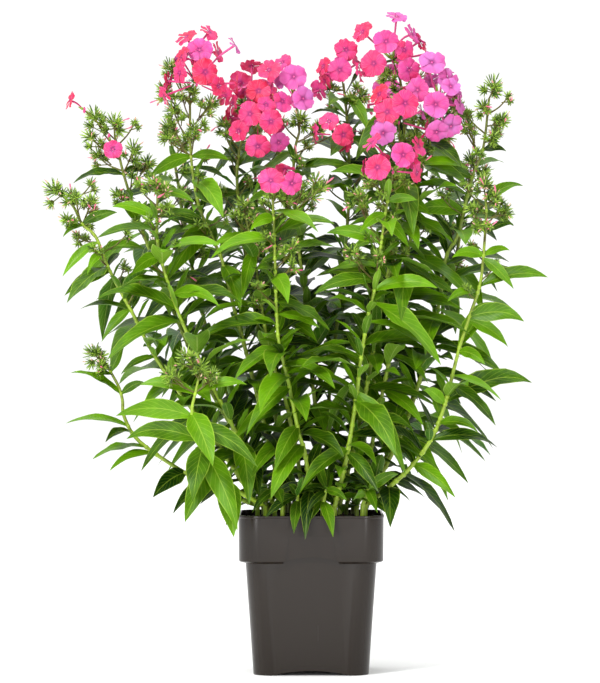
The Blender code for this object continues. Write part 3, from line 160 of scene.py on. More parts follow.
# %% Stems
STEMS = {
    "stem_left_outer": dict(
        path=[(-56, 178, -22), (-80, 216, -24), (-117, 269, -26), (-161, 331, -26), (-188, 382, -24),
              (-212, 427, -22), (-226, 461, -20), (-240, 474, -20), (-249, 492, -20), (-260, 503, -20)],
        heads=[(503, -272, 512, -22, 13), (490, -252, 506, -32, 10), (474, -231, 500, -12, 11),
               (474, -259, 480, -30, 9), (455, -246, 462, -6, 8)],
        leaves=[(474, -203, 487, -20, 11), (472, -271, 461, -25, 6), (455, -261, 422, -30, 8),
                (445, -235, 424, -48, 9), (447, -173, 448, -8, 10), (425, -259, 402, -38, 14),
                (383, -243, 386, -8, 5), (385, -220, 351, -40, 9), (335, -200, 318, -40, 7)],
        turn=10, pairs=(205, 430)),
    "stem_left_tall": dict(
        path=[(-45, 178, 28), (-64, 227, 30), (-117, 321, 32), (-153, 405, 28), (-174, 459, 24),
              (-182, 480, 22), (-197, 528, 18), (-206, 568, 14)],
        heads=[(552, -229, 590, 10, 12), (568, -207, 584, 14, 12), (545, -234, 568, 2, 10),
               (530, -226, 548, 24, 10), (528, -186, 556, 8, 11), (510, -171, 541, 22, 11),
               (497, -206, 507, 6, 8)],
        leaves=[(526, -250, 520, 8, 9), (500, -218, 509, 0, 6), (528, -163, 529, 30, 8),
                (476, -214, 494, 10, 10)],
        turn=60, pairs=(225, 480)),
    "stem_left_front": dict(
        path=[(-38, 178, -20), (-80, 258, -36), (-127, 353, -46), (-148, 406, -50), (-161, 456, -50),
              (-161, 507, -50)],
        heads=[(507, -167, 521, -52, 12), (500, -152, 514, -58, 9), (482, -149, 494, -62, 8)],
        leaves=[(481, -209, 494, -60, 12), (481, -113, 481, -42, 9), (385, -226, 401, -66, 15),
                (508, -122, 499, -44, 9), (440, -190, 420, -95, 15), (400, -96, 392, -88, 15)],
        turn=35, pairs=(225, 470)),
    "stem_left_flower": dict(
        path=[(-29, 178, 2), (-45, 248, 2), (-66, 332, 0), (-81, 387, -2), (-92, 432, -5),
              (-103, 459, -6), (-118, 495, -6), (-126, 546, -5), (-127, 600, -2)],
        heads=[(585, -155, 617, 2, 12), (560, -146, 597, -10, 11), (575, -104, 604, 4, 11),
               (600, -149, 641, 0, 11), (545, -151, 578, 6, 11), (545, -122, 576, -20, 10),
               (590, -128, 618, -8, 10)],
        leaves=[(472, -148, 420, -40, 23), (470, -158, 484, -10, 12), (545, -171, 523, -24, 14),
                (510, -96, 492, -40, 17), (545, -85, 542, 8, 11)],
        turn=0, pairs=(225, 520)),
    "stem_centre_left": dict(
        path=[(-22, 178, 32), (-35, 260, 42), (-51, 342, 50), (-68, 437, 54), (-77, 507, 54),
              (-75, 552, 48), (-62, 580, 34)],
        heads=[(570, -70, 604, 40, 10), (552, -93, 582, 44, 10), (575, -38, 604, 36, 9),
               (560, -52, 560, 30, 9)],
        leaves=[(507, -112, 500, 50, 10), (507, -40, 515, 60, 9)],
        turn=80, pairs=(230, 540)),
    "stem_centre_short": dict(
        path=[(-8, 178, -22), (-13, 222, -22), (-27, 290, -20), (-42, 334, -18), (-52, 388, -16),
              (-59, 436, -14), (-68, 480, -14)],
        heads=[(480, -71, 497, -15, 12), (470, -60, 486, -26, 8)],
        leaves=[(445, -72, 400, -46, 15), (385, -113, 378, -40, 8), (460, -104, 452, -30, 9)],
        turn=50, pairs=(225, 440)),
    "stem_front_left": dict(
        path=[(1, 178, -50), (-6, 232, -54), (-13, 256, -56), (-24, 310, -58), (-33, 347, -60),
              (-36, 378, -60), (-38, 447, -60), (-40, 500, -60)],
        heads=[(500, -43, 509, -56, 8), (496, -24, 505, -62, 9), (465, 6, 519, -48, 13),
               (478, -10, 509, -44, 9), (427, -18, 452, -78, 10)],
        leaves=[(463, 25, 478, -74, 11), (458, -106, 441, -84, 13), (424, -57, 428, -92, 8),
                (420, -24, 394, -112, 18), (379, 9, 366, -80, 8), (345, -81, 312, -90, 11),
                (303, -68, 255, -98, 15), (262, -38, 216, -98, 18), (480, -64, 470, -90, 12)],
        turn=20, pairs=(210, 480)),
    "stem_centre_back": dict(
        path=[(12, 178, 22), (8, 251, 26), (0, 323, 30), (-6, 398, 32), (-16, 474, 32), (-18, 542, 30),
              (-12, 572, 28)],
        heads=[(572, -12, 588, 26, 11), (560, 10, 578, 22, 10)],
        leaves=[(495, 40, 516, 22, 11), (500, -60, 505, 30, 10)],
        turn=45, pairs=(230, 540)),
    "stem_centre_tall_back": dict(
        path=[(24, 178, 46), (20, 242, 56), (18, 280, 60), (30, 395, 68), (40, 500, 68), (38, 580, 66),
              (34, 622, 62)],
        heads=[(615, 16, 618, 60, 9), (600, 56, 610, 62, 10)],
        leaves=[(540, 78, 532, 60, 12), (500, 62, 490, 40, 12)],
        turn=15, pairs=(240, 600)),
    "stem_front_right": dict(
        path=[(25, 178, -50), (38, 232, -52), (48, 296, -54), (52, 330, -55), (60, 378, -56),
              (68, 413, -56), (77, 478, -56), (84, 518, -56)],
        heads=[(505, 58, 523, -60, 9), (515, 92, 528, -50, 9), (454, 46, 508, -64, 12),
               (413, 41, 448, -72, 10)],
        leaves=[(415, 3, 402, -80, 15), (380, 18, 398, -84, 8), (455, 16, 467, -64, 15),
                (485, 51, 467, -76, 11), (430, 16, 424, -58, 8), (333, -8, 339, -80, 10),
                (298, -27, 322, -74, 9), (238, -12, 196, -92, 15), (234, 71, 193, -88, 14),
                (297, 100, 214, -92, 19), (371, 125, 343, -76, 6), (405, 133, 410, -70, 14),
                (478, 103, 453, -84, 13), (498, 112, 500, -60, 10)],
        turn=65, pairs=(215, 490)),
    "stem_right_centre": dict(
        path=[(30, 178, -10), (45, 240, -8), (58, 300, -6), (72, 380, -4), (86, 450, -2), (94, 520, -4),
              (93, 560, -8)],
        heads=[(555, 70, 575, -4, 10), (550, 112, 568, 0, 10)],
        leaves=[(500, 126, 486, -22, 14), (460, 40, 447, -22, 12)],
        turn=30, pairs=(225, 530)),
    "stem_right_back": dict(
        path=[(37, 178, 22), (54, 240, 30), (65, 300, 36), (75, 380, 40), (89, 450, 42), (96, 520, 42),
              (98, 590, 38), (92, 636, 30)],
        heads=[(620, 74, 634, 26, 10), (600, 112, 628, 26, 10), (560, 120, 590, 50, 10)],
        leaves=[(520, 55, 516, 50, 10)],
        turn=75, pairs=(240, 600)),
    "stem_right_flower": dict(
        path=[(48, 178, 0), (57, 206, 2), (67, 258, 4), (79, 316, 6), (94, 395, 8), (106, 468, 8),
              (118, 545, 6), (126, 588, 2)],
        heads=[(580, 148, 590, -12, 9), (570, 146, 566, 0, 9), (545, 103, 553, 16, 9)],
        leaves=[(300, 118, 266, -30, 12), (420, 152, 402, -8, 12)],
        turn=5, pairs=(230, 560)),
    "stem_right_tall": dict(
        path=[(56, 178, 14), (82, 227, 20), (101, 270, 22), (123, 340, 22), (136, 399, 20),
              (142, 440, 18), (154, 462, 16), (162, 494, 14), (170, 526, 12), (181, 555, 10),
              (187, 606, 10)],
        heads=[(606, 192, 622, 10, 13), (590, 180, 599, 2, 10), (577, 203, 585, 8, 10),
               (560, 192, 567, -4, 9), (545, 152, 598, 28, 12), (545, 164, 580, 16, 9)],
        leaves=[(523, 123, 531, 5, 13), (552, 206, 552, 8, 8), (487, 107, 488, -8, 18),
                (412, 232, 420, 20, 9), (535, 208, 540, 30, 7)],
        turn=40, pairs=(235, 500)),
    "stem_right_outer": dict(
        path=[(57, 178, -20), (90, 205, -26), (108, 223, -28), (127, 250, -30), (140, 283, -30),
              (155, 341, -30), (166, 376, -28), (177, 409, -28), (181, 440, -28), (184, 486, -28),
              (183, 505, -28)],
        heads=[(505, 181, 519, -30, 12), (496, 195, 504, -38, 9), (486, 167, 492, -34, 9),
               (480, 206, 489, -24, 9), (470, 173, 473, -42, 8)],
        leaves=[(377, 224, 376, -40, 20), (374, 207, 347, -16, 14), (344, 220, 397, -22, 9),
                (341, 183, 328, -56, 12), (315, 200, 290, -50, 6), (289, 233, 314, -42, 21),
                (265, 176, 258, -60, 11), (248, 196, 244, -40, 14), (222, 152, 189, -54, 15),
                (285, 118, 302, -56, 12), (500, 223, 517, -14, 10), (488, 225, 491, -12, 6),
                (466, 213, 476, -20, 8), (441, 148, 442, -46, 12), (441, 209, 449, -14, 8),
                (438, 213, 406, -50, 12), (408, 249, 421, -34, 13), (402, 143, 395, -56, 8)],
        turn=55, pairs=(215, 300)),
    "shoot_front_left": dict(
        path=[(-48, 178, -48), (-80, 197, -64), (-106, 227, -84), (-122, 258, -98), (-125, 279, -104),
              (-122, 294, -106), (-118, 312, -108)],
        heads=[(312, -132, 338, -110, 12), (312, -115, 326, -116, 10), (297, -150, 318, -112, 10),
               (297, -102, 318, -106, 9)],
        leaves=[(296, -181, 307, -112, 12), (296, -67, 308, -104, 9), (272, -205, 275, -118, 21),
                (248, -194, 254, -112, 20), (275, -103, 220, -150, 25), (240, -124, 186, -140, 25),
                (262, -56, 225, -116, 18), (234, -77, 159, -122, 27), (222, -122, 162, -132, 26),
                (205, -81, 147, -102, 25)],
        turn=0, pairs=None),
    "shoot_left": dict(
        path=[(-56, 178, 6), (-98, 197, 0), (-132, 213, -4), (-180, 246, -8), (-196, 272, -10),
              (-198, 290, -10), (-203, 306, -10), (-217, 330, -10)],
        heads=[(330, -230, 341, -10, 12), (322, -222, 328, -24, 8)],
        leaves=[(296, -253, 320, -20, 8), (296, -174, 309, -14, 9), (319, -196, 347, -10, 10),
                (316, -232, 315, -24, 6), (262, -258, 265, -26, 8), (240, -234, 229, -24, 6),
                (255, -216, 248, -50, 8), (232, -212, 217, -44, 8), (213, -166, 188, -40, 19),
                (200, -145, 172, -44, 14)],
        turn=0, pairs=None),
    "stem_back_left": dict(
        path=[(-50, 178, 48), (-66, 240, 72), (-100, 330, 96), (-125, 430, 110), (-140, 520, 116),
              (-146, 556, 116)],
        heads=[(556, -150, 572, 116, 12), (545, -130, 566, 122, 10)],
        leaves=[], turn=25, pairs=(235, 530)),
    "stem_back_middle": dict(
        path=[(-26, 178, 58), (-32, 260, 94), (-45, 360, 120), (-55, 460, 130), (-60, 560, 132),
              (-62, 585, 132)],
        heads=[(585, -74, 602, 128, 9), (575, -48, 596, 136, 9)],
        leaves=[], turn=60, pairs=(240, 560)),
    "stem_back_right": dict(
        path=[(44, 178, 56), (58, 260, 88), (72, 360, 112), (82, 460, 122), (86, 550, 124),
              (88, 580, 124)],
        heads=[(580, 74, 598, 126, 9), (570, 102, 592, 120, 9)],
        leaves=[], turn=20, pairs=(240, 560)),
    "stem_back_far_right": dict(
        path=[(55, 178, 42), (84, 240, 64), (122, 330, 88), (148, 420, 100), (163, 500, 104),
              (168, 528, 104)],
        heads=[(528, 168, 544, 104, 12), (515, 184, 532, 100, 9)],
        leaves=[], turn=70, pairs=(230, 500)),
    "low_shoot_rim": dict(
        path=[(-14, 178, -57), (-14, 190, -62)],
        heads=[], leaves=[(184, -18, 150, -95, 10), (189, -48, 166, -86, 9), (189, -24, 202, -80, 8)],
        turn=0, pairs=None),
    "low_shoot_front": dict(
        path=[(12, 178, -58), (16, 196, -63)],
        heads=[], leaves=[(183, 31, 147, -94, 8), (183, 7, 157, -93, 7), (193, -5, 172, -86, 7),
                          (195, 38, 184, -86, 9)],
        turn=0, pairs=None),
    "low_shoot_right": dict(
        path=[(54, 178, -48), (60, 196, -53)],
        heads=[], leaves=[(195, 70, 172, -88, 11), (195, 92, 214, -60, 12), (190, 44, 186, -84, 9)],
        turn=0, pairs=None),
    "low_shoot_left": dict(
        path=[(-30, 178, -56), (-36, 196, -60)],
        heads=[], leaves=[(195, -62, 172, -88, 9), (195, -30, 180, -88, 11), (192, -8, 202, -66, 9)],
        turn=0, pairs=None),
}

# %% [markdown]
# ## The blooms' table
#
# Each bloom has the stem that carries it and the height its stalk leaves at, the core its tubes meet in as
# (x, z, depth), and its flowers as (x, z, depth, turn to the right and lift of the face in degrees, size).

# %% Blooms
BLOOMS = {
    "bloom_left": dict(on=("stem_left_flower", 598), core=(-120, 622, -20), flowers=[
        (-111, 634, -40, 10, 0, 1.05), (-117, 657, -24, 0, 15, 1.0), (-131, 671, -12, -35, 50, 0.9),
        (-107, 676, -8, 50, 45, 0.85), (-136, 650, -30, -65, 20, 0.85), (-138, 633, -36, -50, -5, 0.85),
        (-98, 655, -4, 70, 10, 0.85), (-80, 662, -14, 80, 35, 0.8)]),
    "bloom_left_low": dict(on=("stem_left_tall", 540), core=(-212, 566, -4), flowers=[
        (-208, 553, -22, 15, -10, 0.75)]),
    "bloom_left_side": dict(on=("stem_left_tall", 562), core=(-238, 594, -6), flowers=[
        (-253, 604, -14, -70, 20, 0.75)]),
    "bloom_centre_left": dict(on=("stem_centre_left", 576), core=(-56, 584, 14), flowers=[
        (-64, 590, -14, -15, 5, 1.0), (-42, 582, -22, 10, -5, 0.95), (-56, 556, -20, 0, -15, 1.0),
        (-55, 614, -6, -5, 20, 1.0), (-76, 572, -8, -30, -5, 0.9), (-82, 600, 4, -60, 10, 0.8),
        (-34, 560, -12, 25, -20, 0.9), (-44, 636, 0, -10, 35, 0.95), (-30, 603, -6, 30, 10, 0.85)]),
    "bloom_centre": dict(on=("stem_centre_back", 570), core=(-16, 604, 38), flowers=[
        (-18, 629, 10, 0, 10, 1.1), (-8, 606, 4, 20, -5, 0.95), (-30, 644, 30, -40, 35, 0.85)]),
    "bloom_pair": dict(on=("stem_front_left", 498), core=(-34, 516, -70), flowers=[
        (-42, 520, -88, -10, 0, 1.0), (-20, 517, -84, 25, -10, 0.95)]),
    "bloom_centre_back": dict(on=("stem_centre_tall_back", 605), core=(32, 632, 60), flowers=[
        (37, 657, 40, 10, 20, 0.95), (30, 636, 34, -15, -5, 1.0), (13, 640, 44, -50, 15, 0.8)]),
    "bloom_centre_low": dict(on=("stem_centre_back", 548), core=(24, 568, 10), flowers=[
        (19, 582, -8, -20, 20, 0.8), (34, 568, -10, 15, -5, 0.9)]),
    "bloom_right_top": dict(on=("stem_right_back", 625), core=(86, 646, 8), flowers=[
        (54, 676, -4, -45, 30, 0.9), (90, 692, 0, 10, 60, 0.85), (79, 666, -24, 0, 15, 1.0),
        (106, 674, 0, 60, 25, 0.8), (66, 643, -22, -15, -5, 1.05), (98, 657, -20, 30, 10, 0.85),
        (103, 636, -22, 20, -10, 0.95)]),
    "bloom_right_side": dict(on=("stem_right_flower", 582), core=(134, 606, -16), flowers=[
        (127, 644, -26, 10, 25, 1.1), (144, 626, -24, 35, 10, 0.95), (112, 615, -40, -15, 5, 0.95),
        (131, 600, -44, 5, 0, 1.05), (147, 577, -34, 30, -20, 1.0), (132, 571, -40, 5, -35, 0.95),
        (156, 600, -14, 70, 5, 0.85)]),
    "bloom_right_middle": dict(on=("stem_right_centre", 552), core=(92, 582, -28), flowers=[
        (99, 601, -56, 5, 10, 1.1), (80, 592, -50, -20, 5, 1.05), (76, 570, -48, -15, -15, 1.0),
        (72, 611, -40, -50, 20, 0.9)]),
    "bloom_front_right": dict(on=("stem_front_right", 510), core=(86, 530, -68), flowers=[
        (70, 534, -90, -5, 0, 1.0), (97, 547, -88, 10, 10, 1.0), (64, 560, -76, -60, 40, 0.85),
        (113, 556, -72, 60, 20, 0.85)]),
    "bloom_back_left": dict(on=("stem_back_middle", 582), core=(-62, 608, 146), flowers=[
        (-74, 622, 166, 165, 20, 1.0), (-50, 614, 168, 195, 0, 1.0), (-62, 640, 150, 180, 60, 0.95)]),
    "bloom_back_right": dict(on=("stem_back_right", 578), core=(88, 604, 140), flowers=[
        (76, 616, 162, 165, 15, 1.0), (101, 608, 162, 195, 0, 1.0), (88, 636, 144, 180, 60, 0.95)]),
}

# %% [markdown]
# ## The rules that place things
#
# They are repeated from the solids' source, and draw their random numbers in the same order.

# %% Lines and leaves
def height_seen(z, depth):
    """The height in millimetres of a point that shows at z on the middle plane and lies depth behind it."""
    return VIEW_Z + (z - VIEW_Z) * (1 + depth / VIEW_DISTANCE) - EDGE_DROP


def seen(x, z, depth):
    """The place of a point that shows at x, z on the middle plane and lies at depth behind it."""
    return Vector((VIEW_X + (x - VIEW_X) * (1 + depth / VIEW_DISTANCE), depth, height_seen(z, depth))) * MM


def smooth_path(corners, steps):
    """Points along a smooth curve through corners (Catmull-Rom), steps of them for each stretch."""
    ends = [2 * corners[0] - corners[1], *corners, 2 * corners[-1] - corners[-2]]
    points = []
    for a, b, c, d in zip(ends, ends[1:], ends[2:], ends[3:]):
        for step in range(steps):
            t = step / steps
            bend = (2 * a - 5 * b + 4 * c - d) * t * t + (3 * b - a - 3 * c + d) * t * t * t
            points.append((2 * b + (c - a) * t + bend) / 2)
    return [*points, corners[-1]]


def direction_at(points, i):
    """The direction of a line of points at one of them."""
    return (points[min(i + 1, len(points) - 1)] - points[max(i - 1, 0)]).normalized()


def clamp(value, low, high):
    return min(max(value, low), high)


def swept(side, other, angle):
    """A direction turned by an angle from one side towards another."""
    return side * math.cos(angle) + other * math.sin(angle)


class Stem:
    """The centre line of a leafy stem, in metres, from its foot in the soil to its top."""

    def __init__(self, table):
        shown = [seen(*point) for point in table["path"]]
        root = Vector((shown[0].x, shown[0].y, ROOT_BOTTOM * MM))
        self.corners = [root, *shown]
        self.line = [root, *smooth_path(shown, SPAN_STEPS)]

    def radius(self, share):
        return (STEM_FOOT_RADIUS + (STEM_TOP_RADIUS - STEM_FOOT_RADIUS) * share) * MM

    def at(self, z):
        """The point of the line that shows at height z, and the line's direction there."""
        for low, high in zip(self.line[1:], self.line[2:]):
            height = height_seen(z, high.y / MM) * MM
            if high.z >= height:
                share = clamp((height - low.z) / (high.z - low.z), 0, 1)
                return low.lerp(high, share), (high - low).normalized()
        return self.line[-1].copy(), (self.line[-1] - self.line[-2]).normalized()


def shown_leaf(stem, z, tip_x, tip_z, tip_depth, shown_width):
    """A leaf from height z on its stem to a given tip, turned so that it shows as wide as it is said to."""
    root, _ = stem.at(z)
    tip = seen(tip_x, tip_z, tip_depth)
    reach = tip - root
    length = reach.length
    width = clamp(shown_width * MM, LEAF_PROPORTION * length, WIDEST_LEAF * MM)
    knee = (root + tip) / 2 + Vector((0, 0, LEAF_ARCH * math.hypot(reach.x, reach.y) + 0.02 * length))
    tilt = math.asin(min(shown_width * MM / width, 1.0))
    face = Vector((0, -math.sin(tilt), math.cos(tilt)))
    return Leaf(root, knee, tip, width, face)


def grown_leaf(root, along, azimuth, lift, length):
    """A leaf that leaves its stem at an azimuth and a lift, and arches over."""
    out = Vector((math.cos(azimuth), math.sin(azimuth), 0))
    out = (out - along * out.dot(along)).normalized()
    rise = Vector((0, 0, 1))
    tip = root + out * length * math.cos(lift) + rise * length * math.sin(lift)
    knee = root + out * length * 0.45 + rise * length * (0.5 * math.sin(lift) + LEAF_ARCH)
    face = Vector((0, -0.45, 1)).normalized()
    return Leaf(root, knee, tip, LEAF_PROPORTION * length, face)


def on_midrib(leaf, t):
    return leaf.root * (1 - t) ** 2 + leaf.knee * 2 * t * (1 - t) + leaf.tip * t * t


def leaf_frame(leaf, t):
    """The midrib's point at t, the leaf's side direction and its upper normal there."""
    point = on_midrib(leaf, t)
    along = ((leaf.knee - leaf.root) * (1 - t) + (leaf.tip - leaf.knee) * t).normalized()
    side = along.cross(leaf.face)
    if side.length < 0.15:
        side = along.cross(leaf.face + Vector((0, -0.6, 0)))
    side.normalize()
    return point, side, side.cross(along)


def blade_mesh(leaf, start=0.0, thickness=BLADE_THICKNESS):
    """A leaf blade as a bmesh: an arched strip, split alike on both faces, and thickened."""
    bm = bmesh.new()
    point, _, _ = leaf_frame(leaf, start)
    near = [bm.verts.new(point)]
    rows = LONG_BLADE_ROWS if (leaf.tip - leaf.root).length > LONG_LEAF * MM else SHORT_BLADE_ROWS
    for t, share in rows:
        point, side, _ = leaf_frame(leaf, t)
        half = side * leaf.width * share / 2
        left, right = bm.verts.new(point - half), bm.verts.new(point + half)
        bm.faces.new((near[-1], right, left))
        if len(near) == 2:
            bm.faces.new((near[0], near[1], left))
        near = [left, right]
    bm.faces.new((*near, bm.verts.new(leaf.tip)))
    bm.normal_update()
    for vert in bm.verts:
        vert.co += vert.normal * thickness * MM / 2
    bmesh.ops.solidify(bm, geom=bm.faces[:], thickness=thickness * MM)
    bmesh.ops.recalc_face_normals(bm, faces=bm.faces[:])
    return bm


# %% [markdown]
# Each leaf is tried against what has grown before it, and turned, lowered or shortened until it is clear.

# %% Room for each leaf
def square_tube(points, radii):
    """Corners and faces of a square tube along points, for telling whether a leaf would cross it."""
    corners = []
    faces = []
    for i, (point, radius) in enumerate(zip(points, radii)):
        along = direction_at(points, i)
        side = along.cross(Vector((0.3, 1, 0.2))).normalized()
        other = along.cross(side)
        corners += [point + (side * a + other * b) * radius for a, b in ((1, 1), (-1, 1), (-1, -1), (1, -1))]
    for ring in range(len(points) - 1):
        for k in range(4):
            low, high = 4 * ring, 4 * ring + 4
            faces.append((low + k, low + (k + 1) % 4, high + (k + 1) % 4, high + k))
    return corners, faces


def box_round(centre, half):
    """Corners and faces of an upright box, for telling whether a leaf would cross what is inside."""
    corners = [centre + Vector((half.x * a, half.y * b, half.z * c))
               for c in (-1, 1) for a, b in ((-1, -1), (1, -1), (1, 1), (-1, 1))]
    faces = [(0, 1, 2, 3), (4, 5, 6, 7)] + [(k, (k + 1) % 4, 4 + (k + 1) % 4, 4 + k) for k in range(4)]
    return corners, faces


class Crowd:
    """What has grown so far, to keep each new leaf clear of it."""

    def __init__(self):
        self.members = []

    def add_shape(self, owner, corners, faces):
        tree = BVHTree.FromPolygons(corners, faces)
        self.members.append((owner, tree, tree, *reach_of(corners)))

    def add_leaf(self, owner, whole, free):
        """Adds a blade unless it crosses another node's piece, or its free part one of its own node's."""
        low, high = reach_of([vert.co for vert in whole.verts])
        whole_tree = BVHTree.FromBMesh(whole)
        free_tree = BVHTree.FromBMesh(free)
        for other, other_whole, other_free, other_low, other_high in self.members:
            if any(low[k] > other_high[k] or high[k] < other_low[k] for k in range(3)):
                continue
            if free_tree.overlap(other_free) if other == owner else whole_tree.overlap(other_whole):
                return False
        self.members.append((owner, whole_tree, free_tree, low, high))
        return True


def reach_of(points):
    """The lowest and the highest corner of the box round some points."""
    low, high = (Vector([pick(p[k] for p in points) for k in range(3)]) for pick in (min, max))
    return low, high


def facing(turn, lift):
    """The direction that a flower looks in: at the viewer for 0, 0, turned to the right and lifted."""
    turn = math.radians(turn)
    lift = math.radians(lift)
    return Vector((math.sin(turn) * math.cos(lift), -math.cos(turn) * math.cos(lift), math.sin(lift)))


def turned(leaf, swing, drop, shrink):
    """The leaf swung round the upright by an angle, its tip lowered by a share of its length, and shrunk."""
    turn = Matrix.Rotation(swing, 3, "Z")
    length = (leaf.tip - leaf.root).length
    knee = leaf.root + (turn @ (leaf.knee - leaf.root)) * shrink - Vector((0, 0, drop * length * 0.3))
    tip = leaf.root + (turn @ (leaf.tip - leaf.root)) * shrink - Vector((0, 0, drop * length))
    return Leaf(leaf.root, knee, tip, leaf.width * shrink, leaf.face)


def nearest(corners, point):
    """The point nearest to a given one on the straight stretches between corners."""
    found = []
    for low, high in zip(corners, corners[1:]):
        _, share = intersect_point_line(point, low, high)
        found.append(low.lerp(high, clamp(share, 0, 1)))
    return min(found, key=lambda place: (place - point).length)


def sunk(leaf, stem):
    """The leaf with its root on the straight-sided stem, whose middle line runs from corner to corner."""
    return leaf._replace(root=nearest(stem.corners, leaf.root))


def add_leaf(crowd, grown, name, stem, leaf):
    """Adds the leaf where it is clear, or else bent a little aside; a leaf with no room isn't grown."""
    for shrink in SHRINKS:
        for drop in DROPS:
            for swing in SWINGS:
                tried = turned(leaf, math.radians(swing), drop, shrink)
                whole = blade_mesh(sunk(tried, stem), 0.0, BLADE_THICKNESS + CLEARANCE)
                free = blade_mesh(sunk(tried, stem), ROOT_SHARE, BLADE_THICKNESS + CLEARANCE)
                clear = crowd.add_leaf(name, whole, free)
                whole.free()
                free.free()
                if clear:
                    grown.append(tried)
                    return True
    return False


def grow_pairs(crowd, grown, name, stem, draw):
    """Opposite pairs of leaves up the stem, each pair a quarter turn from the one below."""
    low, high = STEMS[name]["pairs"]
    taken = [entry[0] for entry in STEMS[name]["leaves"]]
    azimuth = math.radians(STEMS[name]["turn"])
    z = low
    while z < high:
        share = (z - low) / (high - low)
        length = FIRST_LENGTH + MIDDLE_LENGTH * math.sin(math.pi * min(share * 1.1, 1)) + LAST_LENGTH * share
        root, along = stem.at(z)
        for side in (0, math.pi):
            swing = math.radians(draw.uniform(-14, 14))
            lift = math.radians(draw.uniform(-12, 22))
            scale = draw.uniform(0.88, 1.1)
            leaf = grown_leaf(root, along, azimuth + side + swing, lift, length * scale * MM)
            if not any(abs(z - other) < PAIR_ROOM for other in taken):
                add_leaf(crowd, grown, name, stem, leaf)
        azimuth += math.pi / 2
        z += LEAF_SPACING * draw.uniform(0.9, 1.15)


# %% [markdown]
# The plan keeps room for the pot, the stems, the heads and the flowers first, and then grows the leaves.

# %% The plan
def plan_plant(crowd):
    """Where everything grows: each stem's line, heads and leaves, and each bloom's stalk and flowers."""
    pot_middle = Vector((0, 0, POT_HEIGHT / 2)) * MM
    wide = RIM_HALF + CLEARANCE
    crowd.add_shape("pot", *box_round(pot_middle, Vector((wide, wide, POT_HEIGHT / 2 + 0.5)) * MM))
    stems = {name: Stem(table) for name, table in STEMS.items()}
    heads = {}
    for name, stem in stems.items():
        radii = [stem.radius(i / len(stem.corners)) + CLEARANCE * MM for i in range(len(stem.corners))]
        crowd.add_shape(name, *square_tube(stem.corners, radii))
        heads[name] = []
        for z, x, head_z, depth, radius in STEMS[name]["heads"]:
            foot, along = stem.at(z)
            centre = seen(x, head_z, depth)
            axis = (centre - foot + Vector((0, 0, 0.3)) * (centre - foot).length).normalized()
            heads[name].append(Head(foot, centre, radius * MM, axis))
            crowd.add_shape(name, *square_tube([foot, centre], [(STALK_RADIUS + CLEARANCE) * MM] * 2))
            tuft = Vector((0.8, 0.8, 0.8)) * radius * MM
            crowd.add_shape(name, *box_round(centre + axis * radius * 0.3 * MM, tuft))
    blooms = {}
    stalks = {}
    for name, table in BLOOMS.items():
        core = seen(*table["core"])
        carrier, z = table["on"]
        stalks[name] = Stalk(nearest(stems[carrier].corners, stems[carrier].at(z)[0]), core)
        crowd.add_shape(carrier, *square_tube(stalks[name], [(STALK_RADIUS + CLEARANCE) * MM] * 2))
        blooms[name] = []
        for x, z, depth, turn, lift, size in table["flowers"]:
            flower = Flower(core, seen(x, z, depth), facing(turn, lift), size * LIMB_RADIUS * MM)
            blooms[name].append(flower)
            crowd.add_shape(name, *square_tube([core, flower.centre], [(TUBE_RADIUS + CLEARANCE) * MM] * 2))
            ends = [flower.centre + flower.normal * side * MM for side in (-2, 2)]
            corners, faces = square_tube(ends, [flower.radius * 0.85] * 2)
            crowd.add_shape(name, corners, [*faces, (0, 1, 2, 3), (4, 5, 6, 7)])
    leaves = {name: [] for name in stems}
    for name, stem in stems.items():
        for entry in STEMS[name]["leaves"]:
            add_leaf(crowd, leaves[name], name, stem, shown_leaf(stem, *entry))
    draw = random.Random(SEED)
    for name, stem in stems.items():
        if STEMS[name]["pairs"]:
            grow_pairs(crowd, leaves[name], name, stem, draw)
    return stems, heads, leaves, stalks, blooms


crowd = Crowd()
stems, heads, leaves, stalks, blooms = plan_plant(crowd)
print("planned leaves:", sum(len(found) for found in leaves.values()))

# %% [markdown]
# ## More leaves
#
# The solids carry only a part of the leaves. Further pairs fill the stems between them, each a quarter turn
# from the pair below, with a pair of small leaves in the axils over them. Small leaves stand to every side
# round the feet of the stems.

# %% Further pairs
FULL_TURN = 6.28
FILL_SPACING = 11.5
FILL_JITTER = (0.85, 1.15)
FILL_ROOM = 4.0
FILL_FROM = 174.0
FILL_PAST = 14
LOW_LENGTH = 0.42
LENGTH_PEAK = 1.25
TOP_LOSS = 0.45
FILL_LENGTH = 88.0
FILL_SIZE = (0.8, 1.12)
FILL_PROPORTION = 0.30
FILL_TURN = 45
FILL_SWING = (-20, 20)
FILL_LIFT = (-42, 18)
AXIL_SIZE = (0.3, 0.5)
AXIL_LIFT = (20, 60)
BASAL_FROM = 177.0
BASAL_TOP = 216.0
BASAL_STEP = 5.5
BASAL_LENGTH = (18.0, 34.0)
BASAL_LIFT = (-5, 60)
BASAL_PROPORTION = 0.36
LOWEST_FOOT = 180
CELL = 0.04
HOLDS = list(product((1.0, 0.72), (0.0, 0.25, -0.2), (0, 26, -26)))
extra_draw = random.Random(SEED + 1)


